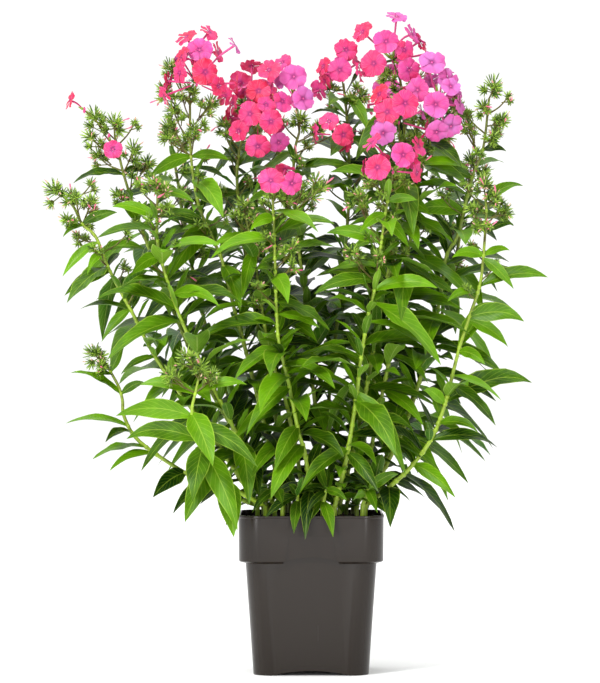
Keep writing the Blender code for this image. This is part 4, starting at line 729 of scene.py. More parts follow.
class Cells:
    """The crowd sorted into cubes of space, so that a leaf is tested only against what is near it."""

    def __init__(self, members):
        self.cells = defaultdict(list)
        for member in members:
            self.put(member)

    def spots(self, low, high):
        spans = [range(math.floor(low[k] / CELL), math.floor(high[k] / CELL) + 1) for k in range(3)]
        return product(*spans)

    def put(self, member):
        for spot in self.spots(member[3], member[4]):
            self.cells[spot].append(member)

    def add_leaf(self, owner, free):
        """Adds a blade unless its free part crosses a free part of what is near."""
        low, high = reach_of([vert.co for vert in free.verts])
        tree = BVHTree.FromBMesh(free)
        near = {id(member): member for spot in self.spots(low, high) for member in self.cells[spot]}
        if any(tree.overlap(member[2]) for member in near.values()):
            return False
        self.put((owner, tree, tree, low, high))
        return True


room = Cells(crowd.members)


def fit_leaf(name, stem, leaf):
    """Adds a leaf to the plan where one of a few ways of holding it is clear."""
    for shrink, drop, swing in HOLDS:
        tried = turned(leaf, math.radians(swing), drop, shrink)
        free = blade_mesh(sunk(tried, stem), ROOT_SHARE, BLADE_THICKNESS)
        clear = room.add_leaf(name, free)
        free.free()
        if clear:
            leaves[name].append(tried)
            return 1
    return 0


def fill_stem(name, stem, low, high):
    """Opposite pairs between the planned leaves of a stem, each a quarter turn from the one below."""
    azimuth = math.radians(STEMS[name]["turn"] + FILL_TURN)
    z = low
    added = 0
    while z < high:
        share = (z - low) / (high - low)
        root, along = stem.at(z)
        grown = LOW_LENGTH + (1 - LOW_LENGTH) * math.sin(math.pi * min(share * LENGTH_PEAK, 0.5))
        length = (grown - TOP_LOSS * max(share - 0.5, 0)) * FILL_LENGTH * MM
        for side in (0, math.pi):
            swing = math.radians(extra_draw.uniform(*FILL_SWING))
            lift = math.radians(extra_draw.uniform(*FILL_LIFT))
            size = length * extra_draw.uniform(*FILL_SIZE)
            leaf = grown_leaf(root, along, azimuth + side + swing, lift, size)
            leaf = leaf._replace(width=FILL_PROPORTION * size)
            if all((root - other.root).length > FILL_ROOM * MM for other in leaves[name]):
                added += fit_leaf(name, stem, leaf)
            lift = math.radians(extra_draw.uniform(*AXIL_LIFT))
            small = size * extra_draw.uniform(*AXIL_SIZE)
            added += fit_leaf(name, stem, grown_leaf(root, along, azimuth + side - swing, lift, small))
        azimuth += math.pi / 2
        z += FILL_SPACING * extra_draw.uniform(*FILL_JITTER)
    return added


def basal_leaves(name, stem, draw):
    """Small leaves to every side round the foot of a stem."""
    z = BASAL_FROM
    added = 0
    while z < BASAL_TOP:
        root, along = stem.at(z)
        length = draw.uniform(*BASAL_LENGTH) * MM
        azimuth = draw.uniform(0, FULL_TURN)
        leaf = grown_leaf(root, along, azimuth, math.radians(draw.uniform(*BASAL_LIFT)), length)
        added += fit_leaf(name, stem, leaf._replace(width=BASAL_PROPORTION * length))
        z += BASAL_STEP
    return added


further = 0
for name, stem in stems.items():
    pairs = STEMS[name]["pairs"]
    if pairs:
        further += fill_stem(name, stem, FILL_FROM, pairs[1] + FILL_PAST)
basal_draw = random.Random(SEED + 4)
basal = 0
for name, stem in stems.items():
    if STEMS[name]["path"][0][1] < LOWEST_FOOT:
        basal += basal_leaves(name, stem, basal_draw)
print("further leaves:", further, "and round the feet of the stems:", basal)

# %% [markdown]
# ## Side shoots
#
# High on each stem thin side shoots leave the axils, and each ends in a small tuft of buds.

# %% Side shoots
SHOOT_FROM = 0.62
SHOOT_SPACING = 17.0
SHOOT_JITTER = (0.7, 1.3)
SHOOT_LENGTH = (20.0, 40.0)
SHOOT_LIFT = (0.7, 1.3)
SHOOT_TURN = 2.4
HEAD_LIFT = 0.6
BELOW_TOP = 6
TUFT_SIZE = (5.5, 8.5)


def side_shoots(stem, low, high):
    """Heads of a smaller size, up the stem by turns to every side."""
    found = []
    z = low
    azimuth = extra_draw.uniform(0, FULL_TURN)
    while z < high:
        foot, _ = stem.at(z)
        out = Vector((math.cos(azimuth), math.sin(azimuth), 0))
        axis = (out + Vector((0, 0, extra_draw.uniform(*SHOOT_LIFT)))).normalized()
        centre = foot + axis * extra_draw.uniform(*SHOOT_LENGTH) * MM
        size = extra_draw.uniform(*TUFT_SIZE) * MM
        found.append(Head(foot, centre, size, (axis + Vector((0, 0, HEAD_LIFT))).normalized()))
        azimuth += SHOOT_TURN
        z += SHOOT_SPACING * extra_draw.uniform(*SHOOT_JITTER)
    return found


small_heads = {name: [] for name in stems}
for name, stem in stems.items():
    pairs = STEMS[name]["pairs"]
    if pairs:
        top = STEMS[name]["path"][-1][1]
        low = pairs[0] + SHOOT_FROM * (top - pairs[0])
        small_heads[name] = side_shoots(stem, low, top - BELOW_TOP)
print("side shoots:", sum(len(found) for found in small_heads.values()))

# %% [markdown]
# ## Sheets rolled and bent into shape
#
# Every small piece starts as a grid of faces that a rule bends: u runs across it from -1 to 1, and t along
# it from 0 to 1. A blade is two such sheets that share their edge, and a stem is one rolled up.

# %% Sheets
LEAF_TOP, LEAF_UNDER, STEM_SKIN, CALYX_SKIN, BUD_SKIN = range(5)
SHARP_ANGLE = math.radians(48)
LOT_SIZE = 800
SLANT = Vector((0.31, 0.9, 0.3))
SAME_PLACE = 0.01 * MM


def millimetres(*sizes):
    """Sizes given in millimetres, in metres."""
    return [size * MM for size in sizes]


class Piece:
    """A growing mesh, kept as small lots because adding to one large mesh takes long."""

    def __init__(self):
        self.lots = []
        self.start_lot()

    def start_lot(self):
        self.lot = bmesh.new()
        self.lot.verts.layers.float.new("tone")
        self.lot.loops.layers.uv.new("UVMap")

    def close_lot(self):
        mesh = bpy.data.meshes.new("lot")
        self.lot.to_mesh(mesh)
        self.lot.free()
        self.lots.append(mesh)

    def room(self):
        """The mesh that takes the next sheet."""
        if len(self.lot.verts) > LOT_SIZE:
            self.close_lot()
            self.start_lot()
        return self.lot

    def whole(self):
        self.close_lot()
        bm = bmesh.new()
        for mesh in self.lots:
            bm.from_mesh(mesh)
            bpy.data.meshes.remove(mesh)
        return bm


def sheet(piece, across, along, shape, tone, slot):
    """A grid of faces bent by shape(u, t), with its own tone and material."""
    bm = piece.room()
    tones = bm.verts.layers.float["tone"]
    uv = bm.loops.layers.uv["UVMap"]
    made = bmesh.ops.create_grid(bm, x_segments=across, y_segments=along, size=1.0)["verts"]
    spots = {}
    for vert in made:
        spots[vert] = (vert.co.x, (vert.co.y + 1) / 2)
        vert.co = shape(*spots[vert])
        vert[tones] = tone(spots[vert][1]) if callable(tone) else tone
    for face in {face for vert in made for face in vert.link_faces}:
        face.material_index = slot
        face.smooth = True
        for loop in face.loops:
            u, t = spots[loop.vert]
            loop[uv].uv = ((u + 1) / 2, t)


def between(stops, t):
    """The value at t on straight lines between (place, value) stops."""
    for (low, low_value), (high, high_value) in zip(stops, stops[1:]):
        if t <= high:
            return low_value + (high_value - low_value) * (t - low) / (high - low)
    return stops[-1][1]


def carried_frames(points, side):
    """Each point with a side and an upper direction, which turn as little as they can between points."""
    frames = []
    for i, point in enumerate(points):
        along = direction_at(points, i)
        side = (side - along * side.dot(along)).normalized()
        frames.append((point, side, side.cross(along)))
    return frames


def roll(piece, points, radii, sides, tone, slot):
    """A closed tube along points, drawn to a point at both ends."""
    points = [points[0], *points, points[-1]]
    radii = [0, *radii, 0]
    start = (points[2] - points[1]).normalized()
    frames = carried_frames(points[1:-1], start.cross(SLANT).normalized())
    frames = [frames[0], *frames, frames[-1]]
    last = len(points) - 1

    def shape(u, t):
        i = round(t * last)
        _, side, up = frames[i]
        return points[i] + swept(side, up, math.pi * u) * radii[i]

    sheet(piece, sides, last, shape, tone, slot)


def finish_mesh(piece, name, materials):
    """One object of the drawn sheets: doubles merged, faces outwards, thin edges kept sharp."""
    bm = piece.whole()
    bmesh.ops.remove_doubles(bm, verts=bm.verts, dist=SAME_PLACE)
    bmesh.ops.recalc_face_normals(bm, faces=bm.faces[:])
    for edge in bm.edges:
        if edge.is_manifold and edge.calc_face_angle() > SHARP_ANGLE:
            edge.smooth = False
    mesh = bpy.data.meshes.new(name)
    bm.to_mesh(mesh)
    bm.free()
    for material in materials:
        mesh.materials.append(material)
    thing = bpy.data.objects.new(name, mesh)
    bpy.context.scene.collection.objects.link(thing)
    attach(thing, "root")
    return thing


# %% [markdown]
# ## Leaves
#
# A phlox leaf is a lance shape with a folded midrib, rippled edges and a tip that bends down.

# %% Leaf blades
BLADE_OUTLINE = ((0.0, 0.20), (0.07, 0.38), (0.18, 0.74), (0.30, 0.96), (0.42, 1.0), (0.56, 0.93),
                 (0.70, 0.72), (0.83, 0.44), (0.93, 0.20), (1.0, 0.0))
BLADE_LENGTHS = 10
BLADE_ACROSS = 4
LENS = 0.25 * MM
FOLD = (0.15, 0.5)
FOLD_POWER = 1.3
RIPPLE = (0.03, 0.13)
WAVES = (1.4, 2.8)
TWIST = (-0.8, 0.8)
TWIST_FROM = 0.25
CURL = (0.0, 0.08)
CURL_FROM = 0.6
CURL_GROWTH = 6


def draw_blade(piece, leaf, tone, draw, rows=BLADE_LENGTHS, across=BLADE_ACROSS):
    """An upper and a lower sheet along a leaf's midrib, with their own fold, ripple, twist and curl."""
    length = (leaf.tip - leaf.root).length
    points = [on_midrib(leaf, i / rows) for i in range(rows + 1)]
    middle = rows // 2
    _, side, _ = leaf_frame(leaf, 0.5)
    outer = carried_frames(points[middle:], side)
    inner = carried_frames(points[middle::-1], side)
    frames = inner[:0:-1] + outer
    fold = draw.uniform(*FOLD)
    ripple = draw.uniform(*RIPPLE)
    waves = draw.uniform(*WAVES)
    phase = draw.uniform(0, FULL_TURN)
    twist = draw.uniform(*TWIST)
    curl = draw.uniform(*CURL) * length

    def surface(over):
        def shape(u, t):
            i = round(t * rows)
            point, side, _ = frames[i]
            up = side.cross(direction_at(points, i))
            turn = twist * (t - TWIST_FROM)
            flat = swept(side, up, turn)
            raised = up * math.cos(turn) - side * math.sin(turn)
            half = leaf.width / 2 * between(BLADE_OUTLINE, t)
            rise = fold * abs(u) ** FOLD_POWER * half
            wave = math.sin(phase + waves * FULL_TURN * t) * (1 if u > 0 else -0.8)
            rise += ripple * half * 2 * wave * u * u
            rise += over * LENS * (1 - u * u) * min(1, t * 10) * (1 - t ** 6)
            sag = Vector((0, 0, curl * max(0, t - CURL_FROM) ** 2 * CURL_GROWTH))
            return point + flat * half * u + raised * rise - sag
        return shape

    sheet(piece, across, rows, surface(1), tone, LEAF_TOP)
    sheet(piece, across, rows, surface(-1), tone, LEAF_UNDER)


# %% [markdown]
# ## Bud heads
#
# A head is a dense tuft of narrow calyces over a thin stalk, with smaller tufts round it and thin bracts
# between. Each calyx ends in five awl-like teeth, and some show the pink tip of a bud.

# %% Calyces and heads
TEETH = 5
TOOTH_ROWS = ((0, 0), (0.3, 1.0), (1.0, 0.75), (0.4, 0))
NOTCH_ROWS = ((0, 0), (0.3, 1.0), (0.5, 0.85), (0.4, 0))
# Painted shade at a calyx's foot, deep in the tuft, and its rise in tone up to the teeth.
CALYX_FOOT_PAINTED_SHADE, TONE_RISE = 0.25, 1.1
GOLDEN_TURN = 2.39996
DOME_JITTER = (-0.3, 0.3)
CALYCES_PER_MM = 2.2
CALYX_SPREAD = math.radians(108)
CALYX_REACH = (0.72, 1.08)
CALYX_LENGTH = (8.5, 12.5)
CALYX_RADIUS = (0.6, 0.85)
CALYX_TONE = (0.05, 1.0)
CALYX_LEAN = 0.35
BRANCH_RADIUS = 0.45
SHORT_BUD_SHARE = 0.07
SHORT_BUD_REACH = (-1.5, 1.0)
SHORT_BUD_RADII = (0.6, 0.75, 0.2)
LONG_BUD_SHARE = 0.01
LONG_BUD_REACH = (4, 10)
LONG_BUD_RADII = (0.5, 0.6, 1.0, 0.2)
EDGE_ROOM = 1.0 * MM
BASE_DEPTH = 0.6
STALK_SAG = 0.08
STALK_TAPER = 0.45
SIDE_TUFTS = 4
TUFT_SPREAD = math.radians(95)
TUFT_SHARE = (0.55, 0.8)
TUFT_REACH = (0.7, 1.2)
TUFT_RISE = 0.35
TUFT_FOOT = (0.35, 0.8)
BRACTS = 6
BRACT_REACH = (0.9, 1.25)
BRACT_RISE = (-0.1, 0.5)
BRACT_ARCH = 0.12
BRACT_WIDTH = 0.2
BRACT_TONE = (0.2, 0.9)
BRACT_TURN = (-0.4, 0.4)


def frame_of(axis):
    """Two directions square to an axis and to each other."""
    side = axis.cross(SLANT)
    if side.length < 0.2:
        side = axis.cross(Vector((1, 0, 0)))
    side.normalize()
    return side, axis.cross(side)


def draw_calyx(piece, base, tip, radius, tone):
    """A narrow cup whose rim rises in five teeth."""
    axis = (tip - base).normalized()
    length = (tip - base).length
    side, other = frame_of(axis)
    rows = len(TOOTH_ROWS) - 1

    def shape(u, t):
        tooth = round((u + 1) * TEETH) % 2 == 0
        reach, wide = (TOOTH_ROWS if tooth else NOTCH_ROWS)[round(t * rows)]
        return base + axis * reach * length + swept(side, other, math.pi * u) * wide * radius

    # Painted shade: each calyx is darker at its foot, deep in the tuft, and paler up to its teeth.
    sheet(piece, 2 * TEETH, rows, shape, lambda t: tone * (CALYX_FOOT_PAINTED_SHADE + TONE_RISE * t), CALYX_SKIN)


def over_dome(axis, count, widest, draw):
    """Directions spread over a dome round an axis, out to the widest angle from it."""
    side, other = frame_of(axis)
    spread = []
    for i in range(count):
        lean = widest * math.sqrt((i + 0.5) / count)
        turn = i * GOLDEN_TURN + draw.uniform(*DOME_JITTER)
        spread.append(swept(axis, swept(side, other, turn), lean).normalized())
    return spread


def draw_tuft(piece, centre, base, axis, radius, draw):
    """The calyces and buds of one tuft, spread over a dome."""
    for out in over_dome(axis, round(radius / MM * CALYCES_PER_MM), CALYX_SPREAD, draw):
        reach = radius * draw.uniform(*CALYX_REACH)
        tip = kept(centre + out * reach)
        start = tip - (out + axis * CALYX_LEAN).normalized() * draw.uniform(*CALYX_LENGTH) * MM
        tone = draw.uniform(*CALYX_TONE)
        draw_calyx(piece, start, tip, draw.uniform(*CALYX_RADIUS) * MM, tone)
        roll(piece, [base, start], [BRANCH_RADIUS * MM] * 2, 3, 0.3, STEM_SKIN)
        if draw.random() < SHORT_BUD_SHARE:
            low = start.lerp(tip, 0.5)
            high = kept(tip + out * draw.uniform(*SHORT_BUD_REACH) * MM)
            knots = [low, low.lerp(high, 0.6), high]
            roll(piece, knots, millimetres(*SHORT_BUD_RADII), 5, tone, BUD_SKIN)
        end = tip + out * draw.uniform(*LONG_BUD_REACH) * MM
        if draw.random() < LONG_BUD_SHARE and within(end, 0.5 * MM):
            knots = [start, tip, tip.lerp(end, 0.7), end]
            roll(piece, knots, millimetres(*LONG_BUD_RADII), 6, 1.0, BUD_SKIN)


def kept(point):
    """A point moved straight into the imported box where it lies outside."""
    low, high = packed_bounds
    return Vector(clamp(point[k], low[k] + EDGE_ROOM, high[k] - EDGE_ROOM) for k in range(3))


def within(point, room):
    """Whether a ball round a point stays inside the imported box."""
    low, high = packed_bounds
    return all(low[k] + room < point[k] < high[k] - room for k in range(3))


def draw_head(piece, head, draw, tufts=SIDE_TUFTS):
    """A head's bending stalk, its middle tuft, smaller tufts round its base, and its bracts."""
    base = head.centre - head.axis * head.radius * BASE_DEPTH
    bend = head.foot.lerp(base, 0.6) - Vector((0, 0, STALK_SAG)) * (base - head.foot).length
    stalk = smooth_path([head.foot, bend, base, head.centre], 3)
    radii = [(1.0 - STALK_TAPER * i / len(stalk)) * MM for i in range(len(stalk))]
    roll(piece, stalk, radii, 5, 0.15, STEM_SKIN)
    draw_tuft(piece, head.centre, base, head.axis, head.radius, draw)
    for out in over_dome(-head.axis, tufts, TUFT_SPREAD, draw):
        size = head.radius * draw.uniform(*TUFT_SHARE)
        centre = base + out * head.radius * draw.uniform(*TUFT_REACH) + head.axis * head.radius * TUFT_RISE
        start = head.foot.lerp(base, draw.uniform(*TUFT_FOOT))
        if within(centre, size):
            axis = (centre - start).normalized()
            roll(piece, [start, centre], [0.6 * MM] * 2, 4, 0.15, STEM_SKIN)
            draw_tuft(piece, centre, centre - axis * size * BASE_DEPTH, axis, size, draw)
    side, other = frame_of(head.axis)
    for k in range(BRACTS):
        turn = 2 * math.pi * k / BRACTS + draw.uniform(*BRACT_TURN)
        out = swept(side, other, turn)
        reach = draw.uniform(*BRACT_REACH)
        tip = base + (out * reach + head.axis * draw.uniform(*BRACT_RISE)) * head.radius
        if within(tip, 0):
            knee = (base + tip) / 2 + head.axis * head.radius * BRACT_ARCH
            bract = Leaf(base, knee, tip, head.radius * BRACT_WIDTH, head.axis)
            draw_blade(piece, bract, draw.uniform(*BRACT_TONE), draw, rows=4, across=2)


# %% [markdown]
# ## Materials
#
# A value stands for one output of a node, so that the sums behind a colour can be written out.

# %% Tools for the materials
def srgb(text):
    """A linear colour from a hex colour."""
    shares = [int(text[k:k + 2], 16) / 255 for k in (1, 3, 5)]
    return [*(s / 12.92 if s <= 0.04045 else ((s + 0.055) / 1.055) ** 2.4 for s in shares), 1.0]


def new_material(name, roughness):
    """A material with its node tree and its shader."""
    material = bpy.data.materials.new(name)
    material.use_nodes = True
    shader = material.node_tree.nodes["Principled BSDF"]
    shader.inputs["Roughness"].default_value = roughness
    return material, material.node_tree, shader


def matt(name, colour, roughness):
    """A material of one colour."""
    material, _, shader = new_material(name, roughness)
    shader.inputs["Base Color"].default_value = srgb(colour)
    return material


def add(tree, kind, settings=(), links=()):
    """A node with its settings, and its inputs linked from values."""
    node = tree.nodes.new(kind)
    for key, value in dict(settings).items():
        if isinstance(key, str) and hasattr(node, key):
            setattr(node, key, value)
        else:
            node.inputs[key].default_value = value
    for key, value in dict(links).items():
        tree.links.new(value.socket, node.inputs[key])
    return node


class Value:
    """What one output of a node gives, to be summed, multiplied and compared."""

    def __init__(self, tree, node, output=0):
        self.tree = tree
        self.socket = node.outputs[output]

    def to(self, operation, *terms):
        """The result of a Math node whose further inputs are numbers or values."""
        numbers = {k: term for k, term in enumerate(terms, 1) if not isinstance(term, Value)}
        values = {k: term for k, term in enumerate(terms, 1) if isinstance(term, Value)}
        node = add(self.tree, "ShaderNodeMath", {"operation": operation, **numbers}, {0: self, **values})
        return Value(self.tree, node)

    def __add__(self, other):
        return self.to("ADD", other)

    def __sub__(self, other):
        return self.to("SUBTRACT", other)

    def __mul__(self, other):
        return self.to("MULTIPLY", other)

    def over(self, level):
        """1 where the value is over a level, or else 0."""
        return self.to("GREATER_THAN", level)

    def size(self):
        """The value without its sign."""
        return self.to("ABSOLUTE")

    def apart(self):
        """The three numbers of a vector."""
        node = add(self.tree, "ShaderNodeSeparateXYZ", links={0: self})
        return [Value(self.tree, node, k) for k in range(3)]

    def grain(self, scale, detail):
        """Noise about 0 at a place."""
        settings = {"Scale": scale, "Detail": detail}
        node = add(self.tree, "ShaderNodeTexNoise", settings, {"Vector": self})
        return Value(self.tree, node, "Fac") - 0.5

    def stretched(self, scale):
        """The place on a map scaled along its three directions."""
        return Value(self.tree, add(self.tree, "ShaderNodeMapping", {"Scale": scale}, {"Vector": self}))


def tone_of(tree):
    """The tone that each piece was drawn with."""
    return Value(tree, add(tree, "ShaderNodeAttribute", {"attribute_name": "tone"}), "Fac")


def place_on(tree):
    """The place in the object's own space."""
    return Value(tree, add(tree, "ShaderNodeTexCoord"), "Object")


def map_of(tree):
    """The place on the sheet: across it and along it, from 0 to 1."""
    return Value(tree, add(tree, "ShaderNodeUVMap"), "UV")


def fading(value, soft):
    """1 where the value is 0, and softly down to 0 where it is 1."""
    return value.to("SMOOTH_MIN", 1.0, soft) * -1.0 + 1.0


def mixed(share, low, high):
    """A colour between two, which are hex colours or values."""
    node = add(share.tree, "ShaderNodeMix", {"data_type": "RGBA"}, {"Factor": share})
    for socket, term in ((node.inputs[6], low), (node.inputs[7], high)):
        if isinstance(term, Value):
            share.tree.links.new(term.socket, socket)
        else:
            socket.default_value = srgb(term)
    return Value(share.tree, node, 2)


def lit_through(material, shader, colour, glow):
    """Gives a thin sheet its colour, and lets a share of the light through it."""
    tree = material.node_tree
    tree.links.new(colour.socket, shader.inputs["Base Color"])
    glowing = add(tree, "ShaderNodeBsdfTranslucent", links={"Color": colour})
    blend = add(tree, "ShaderNodeMixShader", {0: glow}, {1: Value(tree, shader), 2: Value(tree, glowing)})
    tree.links.new(blend.outputs[0], tree.nodes["Material Output"].inputs["Surface"])


# %% [markdown]
# A leaf's colour follows its tone, which carries painted light and shade; a petal's runs from red to violet,
# and light shines through both.

# %% Materials for the green pieces and the petals
LEAF_GLOSS = 0.22
RIB_NARROWNESS = 30.0
VEINS = 9.0
VEIN_SLANT = 5.0
VEIN_LEVEL, VEIN_SHARE = 0.45, 0.2
# A painted highlight along the leaf's edge, where light shines through it.
LEAF_EDGE_PAINTED_LIGHT_LEVEL, LEAF_EDGE_PAINTED_LIGHT_SHARE = 0.46, 0.35
PINKS = ((0.0, "#df1744"), (0.35, "#e72e75"), (0.65, "#e34ca5"), (1.0, "#dd7acc"))
PALE_PINK = "#dfa4c8"
EYE = "#8f0f68"
EYE_NARROWNESS = 3.2
STREAK_SCALE = (16.0, 1.6, 1.0)
STREAK_SHARE = 1.3
RIM_LEVEL, RIM_SHARE = 0.44, 0.25


def leaf_skin(name, dark, light, rib, rib_share, roughness, glow):
    """Leaf green by the tone with its painted light and shade, a pale midrib, side veins and a painted
    highlight at the edge, along its own map.
    """
    material, tree, shader = new_material(name, roughness)
    shader.inputs["Specular IOR Level"].default_value = LEAF_GLOSS
    across, along, _ = map_of(tree).apart()
    aside = (across - 0.5).size()
    shade = tone_of(tree) + place_on(tree).grain(55.0, 3.0) * 0.6
    wave = ((along * VEINS - aside * VEIN_SLANT).to("FRACT") - 0.5).size()
    veins = wave.over(VEIN_LEVEL) * VEIN_SHARE
    # The pale edge is a painted highlight: light shining through the thin rim of the leaf.
    edge = aside.over(LEAF_EDGE_PAINTED_LIGHT_LEVEL) * LEAF_EDGE_PAINTED_LIGHT_SHARE
    midrib = fading(aside * RIB_NARROWNESS, 0.1) * rib_share
    lines = midrib.to("MAXIMUM", veins.to("MAXIMUM", edge))
    lit_through(material, shader, mixed(lines, mixed(shade, dark, light), rib), glow)
    return material


def two_tone(name, low, high, roughness):
    """A colour between two by the piece's tone and a little noise."""
    material, tree, shader = new_material(name, roughness)
    shade = tone_of(tree) + place_on(tree).grain(160.0, 2.0) * 0.8
    tree.links.new(mixed(shade, low, high).socket, shader.inputs["Base Color"])
    return material


def petal_skin(name, roughness, glow):
    """Pink between red and violet by the flower's tone, a dark eye, and fine streaks out from it."""
    material, tree, shader = new_material(name, roughness)
    across, along, _ = map_of(tree).apart()
    ramp = add(tree, "ShaderNodeValToRGB", links={0: tone_of(tree)})
    ends = ramp.color_ramp.elements
    ends[0].color, ends[1].color = srgb(PINKS[0][1]), srgb(PINKS[-1][1])
    for place, colour in PINKS[1:-1]:
        ends.new(place).color = srgb(colour)
    rim = (across - 0.5).size().over(RIM_LEVEL) * RIM_SHARE
    pale = map_of(tree).stretched(STREAK_SCALE).grain(1.0, 2.0) * STREAK_SHARE + rim
    body = mixed(pale, Value(tree, ramp), PALE_PINK)
    lit_through(material, shader, mixed(fading(along * EYE_NARROWNESS, 0.3), body, EYE), glow)
    return material


# The leaves' dark and light greens are the ends of their tone, along which painted shade and light run.
green_materials = [
    leaf_skin("leaf_upper_side", "#0c2f00", "#7cba06", "#bcd84a", 0.45, 0.4, 0.14),
    leaf_skin("leaf_underside", "#2f6206", "#90bc34", "#d0e384", 0.55, 0.55, 0.14),
    two_tone("stem_skin", "#4c3322", "#a0c22e", 0.45),
    two_tone("calyx", "#1f4a06", "#b6da50", 0.45),
    two_tone("bud", "#e6d3b0", "#ee6f98", 0.5),
]
petal_materials = [petal_skin("petal", 0.55, 0.25), two_tone("corolla_tube", "#b81a5e", "#e0559a", 0.5)]

# %% [markdown]
# ## Leafy stems
#
# One object for each: the stem, its leaves, its heads, and the stalks and calyces that carry its flowers.

# %% Drawing the leafy stems
look_draw = random.Random(SEED + 2)
# Painted light: the leaves of these shoots at the front are drawn lighter, as if lit.
PAINTED_LIGHT_SHOOTS = {"shoot_front_left": 0.12, "low_shoot_front": 0.08, "low_shoot_rim": 0.05, "low_shoot_right": 0.15}
MEAN_TONE = 0.26
TONE_SPREAD = 0.30
# Painted light at the front and the sides of the plant, and painted shade on its low leaves.
PAINTED_LIGHT_FRONT = 0.24
PAINTED_LIGHT_SIDES = 0.14
PAINTED_SHADE_LOW = 0.14
LOW_HEIGHT = 0.26
HALF_DEPTH = 0.15
HALF_WIDTH = 0.26
STEM_TONE = 0.62
# Painted light: stems at the front are drawn lighter, those behind darker, as if in shade.
PAINTED_LIGHT_STEM_FRONT = 0.4
RING_APART = 4 * MM
RING_KNOTS = ((-2.0, 1.0), (-0.8, 1.32), (0.8, 1.32), (2.0, 1.0))
RING_TONE = 1.15
STALK_SIZE = 0.9 * MM
FLOWER_CALYX = 0.42
FLOWER_CALYX_RADIUS = 1.5 * MM


def leaf_tone_with_painted_light(name, leaf, draw):
    """Leaves lighter at the front, the sides and on the shoots, darker low and deep inside: painted light
    and shade.
    """
    front = clamp(-leaf.tip.y / HALF_DEPTH, -1, 1)
    outer = min(abs(leaf.tip.x) / HALF_WIDTH, 1) ** 2
    low = PAINTED_SHADE_LOW * ((leaf.root.z < LOW_HEIGHT) + (leaf.root.z < BASAL_TOP * MM))
    tone = MEAN_TONE + PAINTED_LIGHT_FRONT * front + PAINTED_LIGHT_SIDES * outer - low + PAINTED_LIGHT_SHOOTS.get(name, 0)
    return clamp(tone + draw.uniform(-TONE_SPREAD, TONE_SPREAD), 0, 1)


def direction_near(line, point):
    """The direction of a line of points where it passes nearest to a given one."""
    k = min(range(len(line) - 1), key=lambda i: ((line[i] + line[i + 1]) / 2 - point).length)
    return (line[k + 1] - line[k]).normalized()


def draw_stem(piece, stem, grown, tone):
    """The stem's own tube, and a swollen ring of it where each pair of leaves stands."""
    count = len(stem.line)
    radii = [stem.radius(i / count) for i in range(count)]
    roll(piece, stem.line, radii, 8, lambda t: tone * (1.1 - 0.7 * t ** 3), STEM_SKIN)
    rings = []
    for leaf in grown:
        if all((leaf.root - other).length > RING_APART for other in rings):
            rings.append(leaf.root)
            share = clamp((leaf.root.z - stem.line[0].z) / (stem.line[-1].z - stem.line[0].z), 0, 1)
            along = direction_near(stem.line, leaf.root)
            wide = stem.radius(share)
            knots = [leaf.root + along * step * MM for step, _ in RING_KNOTS]
            roll(piece, knots, [share * wide for _, share in RING_KNOTS], 8, tone * RING_TONE, STEM_SKIN)


for name, stem in stems.items():
    piece = Piece()
    # Painted light and shade on the stem: lighter at the front, darker behind.
    front = clamp(-stem.line[len(stem.line) // 2].y / HALF_DEPTH, -1, 1)
    draw_stem(piece, stem, leaves[name], STEM_TONE + PAINTED_LIGHT_STEM_FRONT * front)
    for leaf in leaves[name]:
        draw_blade(piece, leaf, leaf_tone_with_painted_light(name, leaf, look_draw), look_draw)
    for head in heads[name]:
        draw_head(piece, head, look_draw)
    for head in small_heads[name]:
        if within(head.centre, head.radius):
            draw_head(piece, head, look_draw, tufts=1)
    for bloom_name, table in BLOOMS.items():
        if table["on"][0] != name:
            continue
        stalk = stalks[bloom_name]
        knots = [stalk.foot, stalk.foot.lerp(stalk.core, 0.5), stalk.core]
        roll(piece, knots, [STALK_SIZE] * 3, 5, 0.2, STEM_SKIN)
        for flower in blooms[bloom_name]:
            rim = flower.core.lerp(flower.centre, FLOWER_CALYX)
            draw_calyx(piece, flower.core, rim, FLOWER_CALYX_RADIUS, look_draw.random())
    thing = finish_mesh(piece, name + "_fine", green_materials)
    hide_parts(name)
print("green faces:", sum(len(o.data.polygons) for o in bpy.data.objects if o.name.endswith("_fine")))

# %% [markdown]
# ## Flowers
#
# Each flower has a slender tube and five rounded lobes, each a little over the next. Further flowers,
# smaller and turned away, fill each cluster between the planned ones.

# %% Drawing a flower
LOBES = 5
LOBE_HALF = ((0.0, 0.07), (0.17, 0.17), (0.36, 0.37), (0.55, 0.54), (0.74, 0.62), (0.9, 0.55), (1.0, 0.38))
LOBE_ROWS = 6
LOBE_ACROSS = 6
LOBE_SIZE = (0.9, 1.02)
LOBE_LAP = (0.08, 0.2)
LOBE_BEND = (-0.22, 0.1)
LOBE_RUFFLE = (0.02, 0.05)
LOBE_TONE = (-0.12, 0.12)
LOBE_FADE = (-0.25, 0.3)
THROAT = 0.9 * MM
PETAL_LENS = 0.16 * MM
TUBE_KNEE = 0.4
TUBE_NARROW, TUBE_GROWTH = 0.75, 0.55
PETAL_SKIN, TUBE_SKIN = range(2)


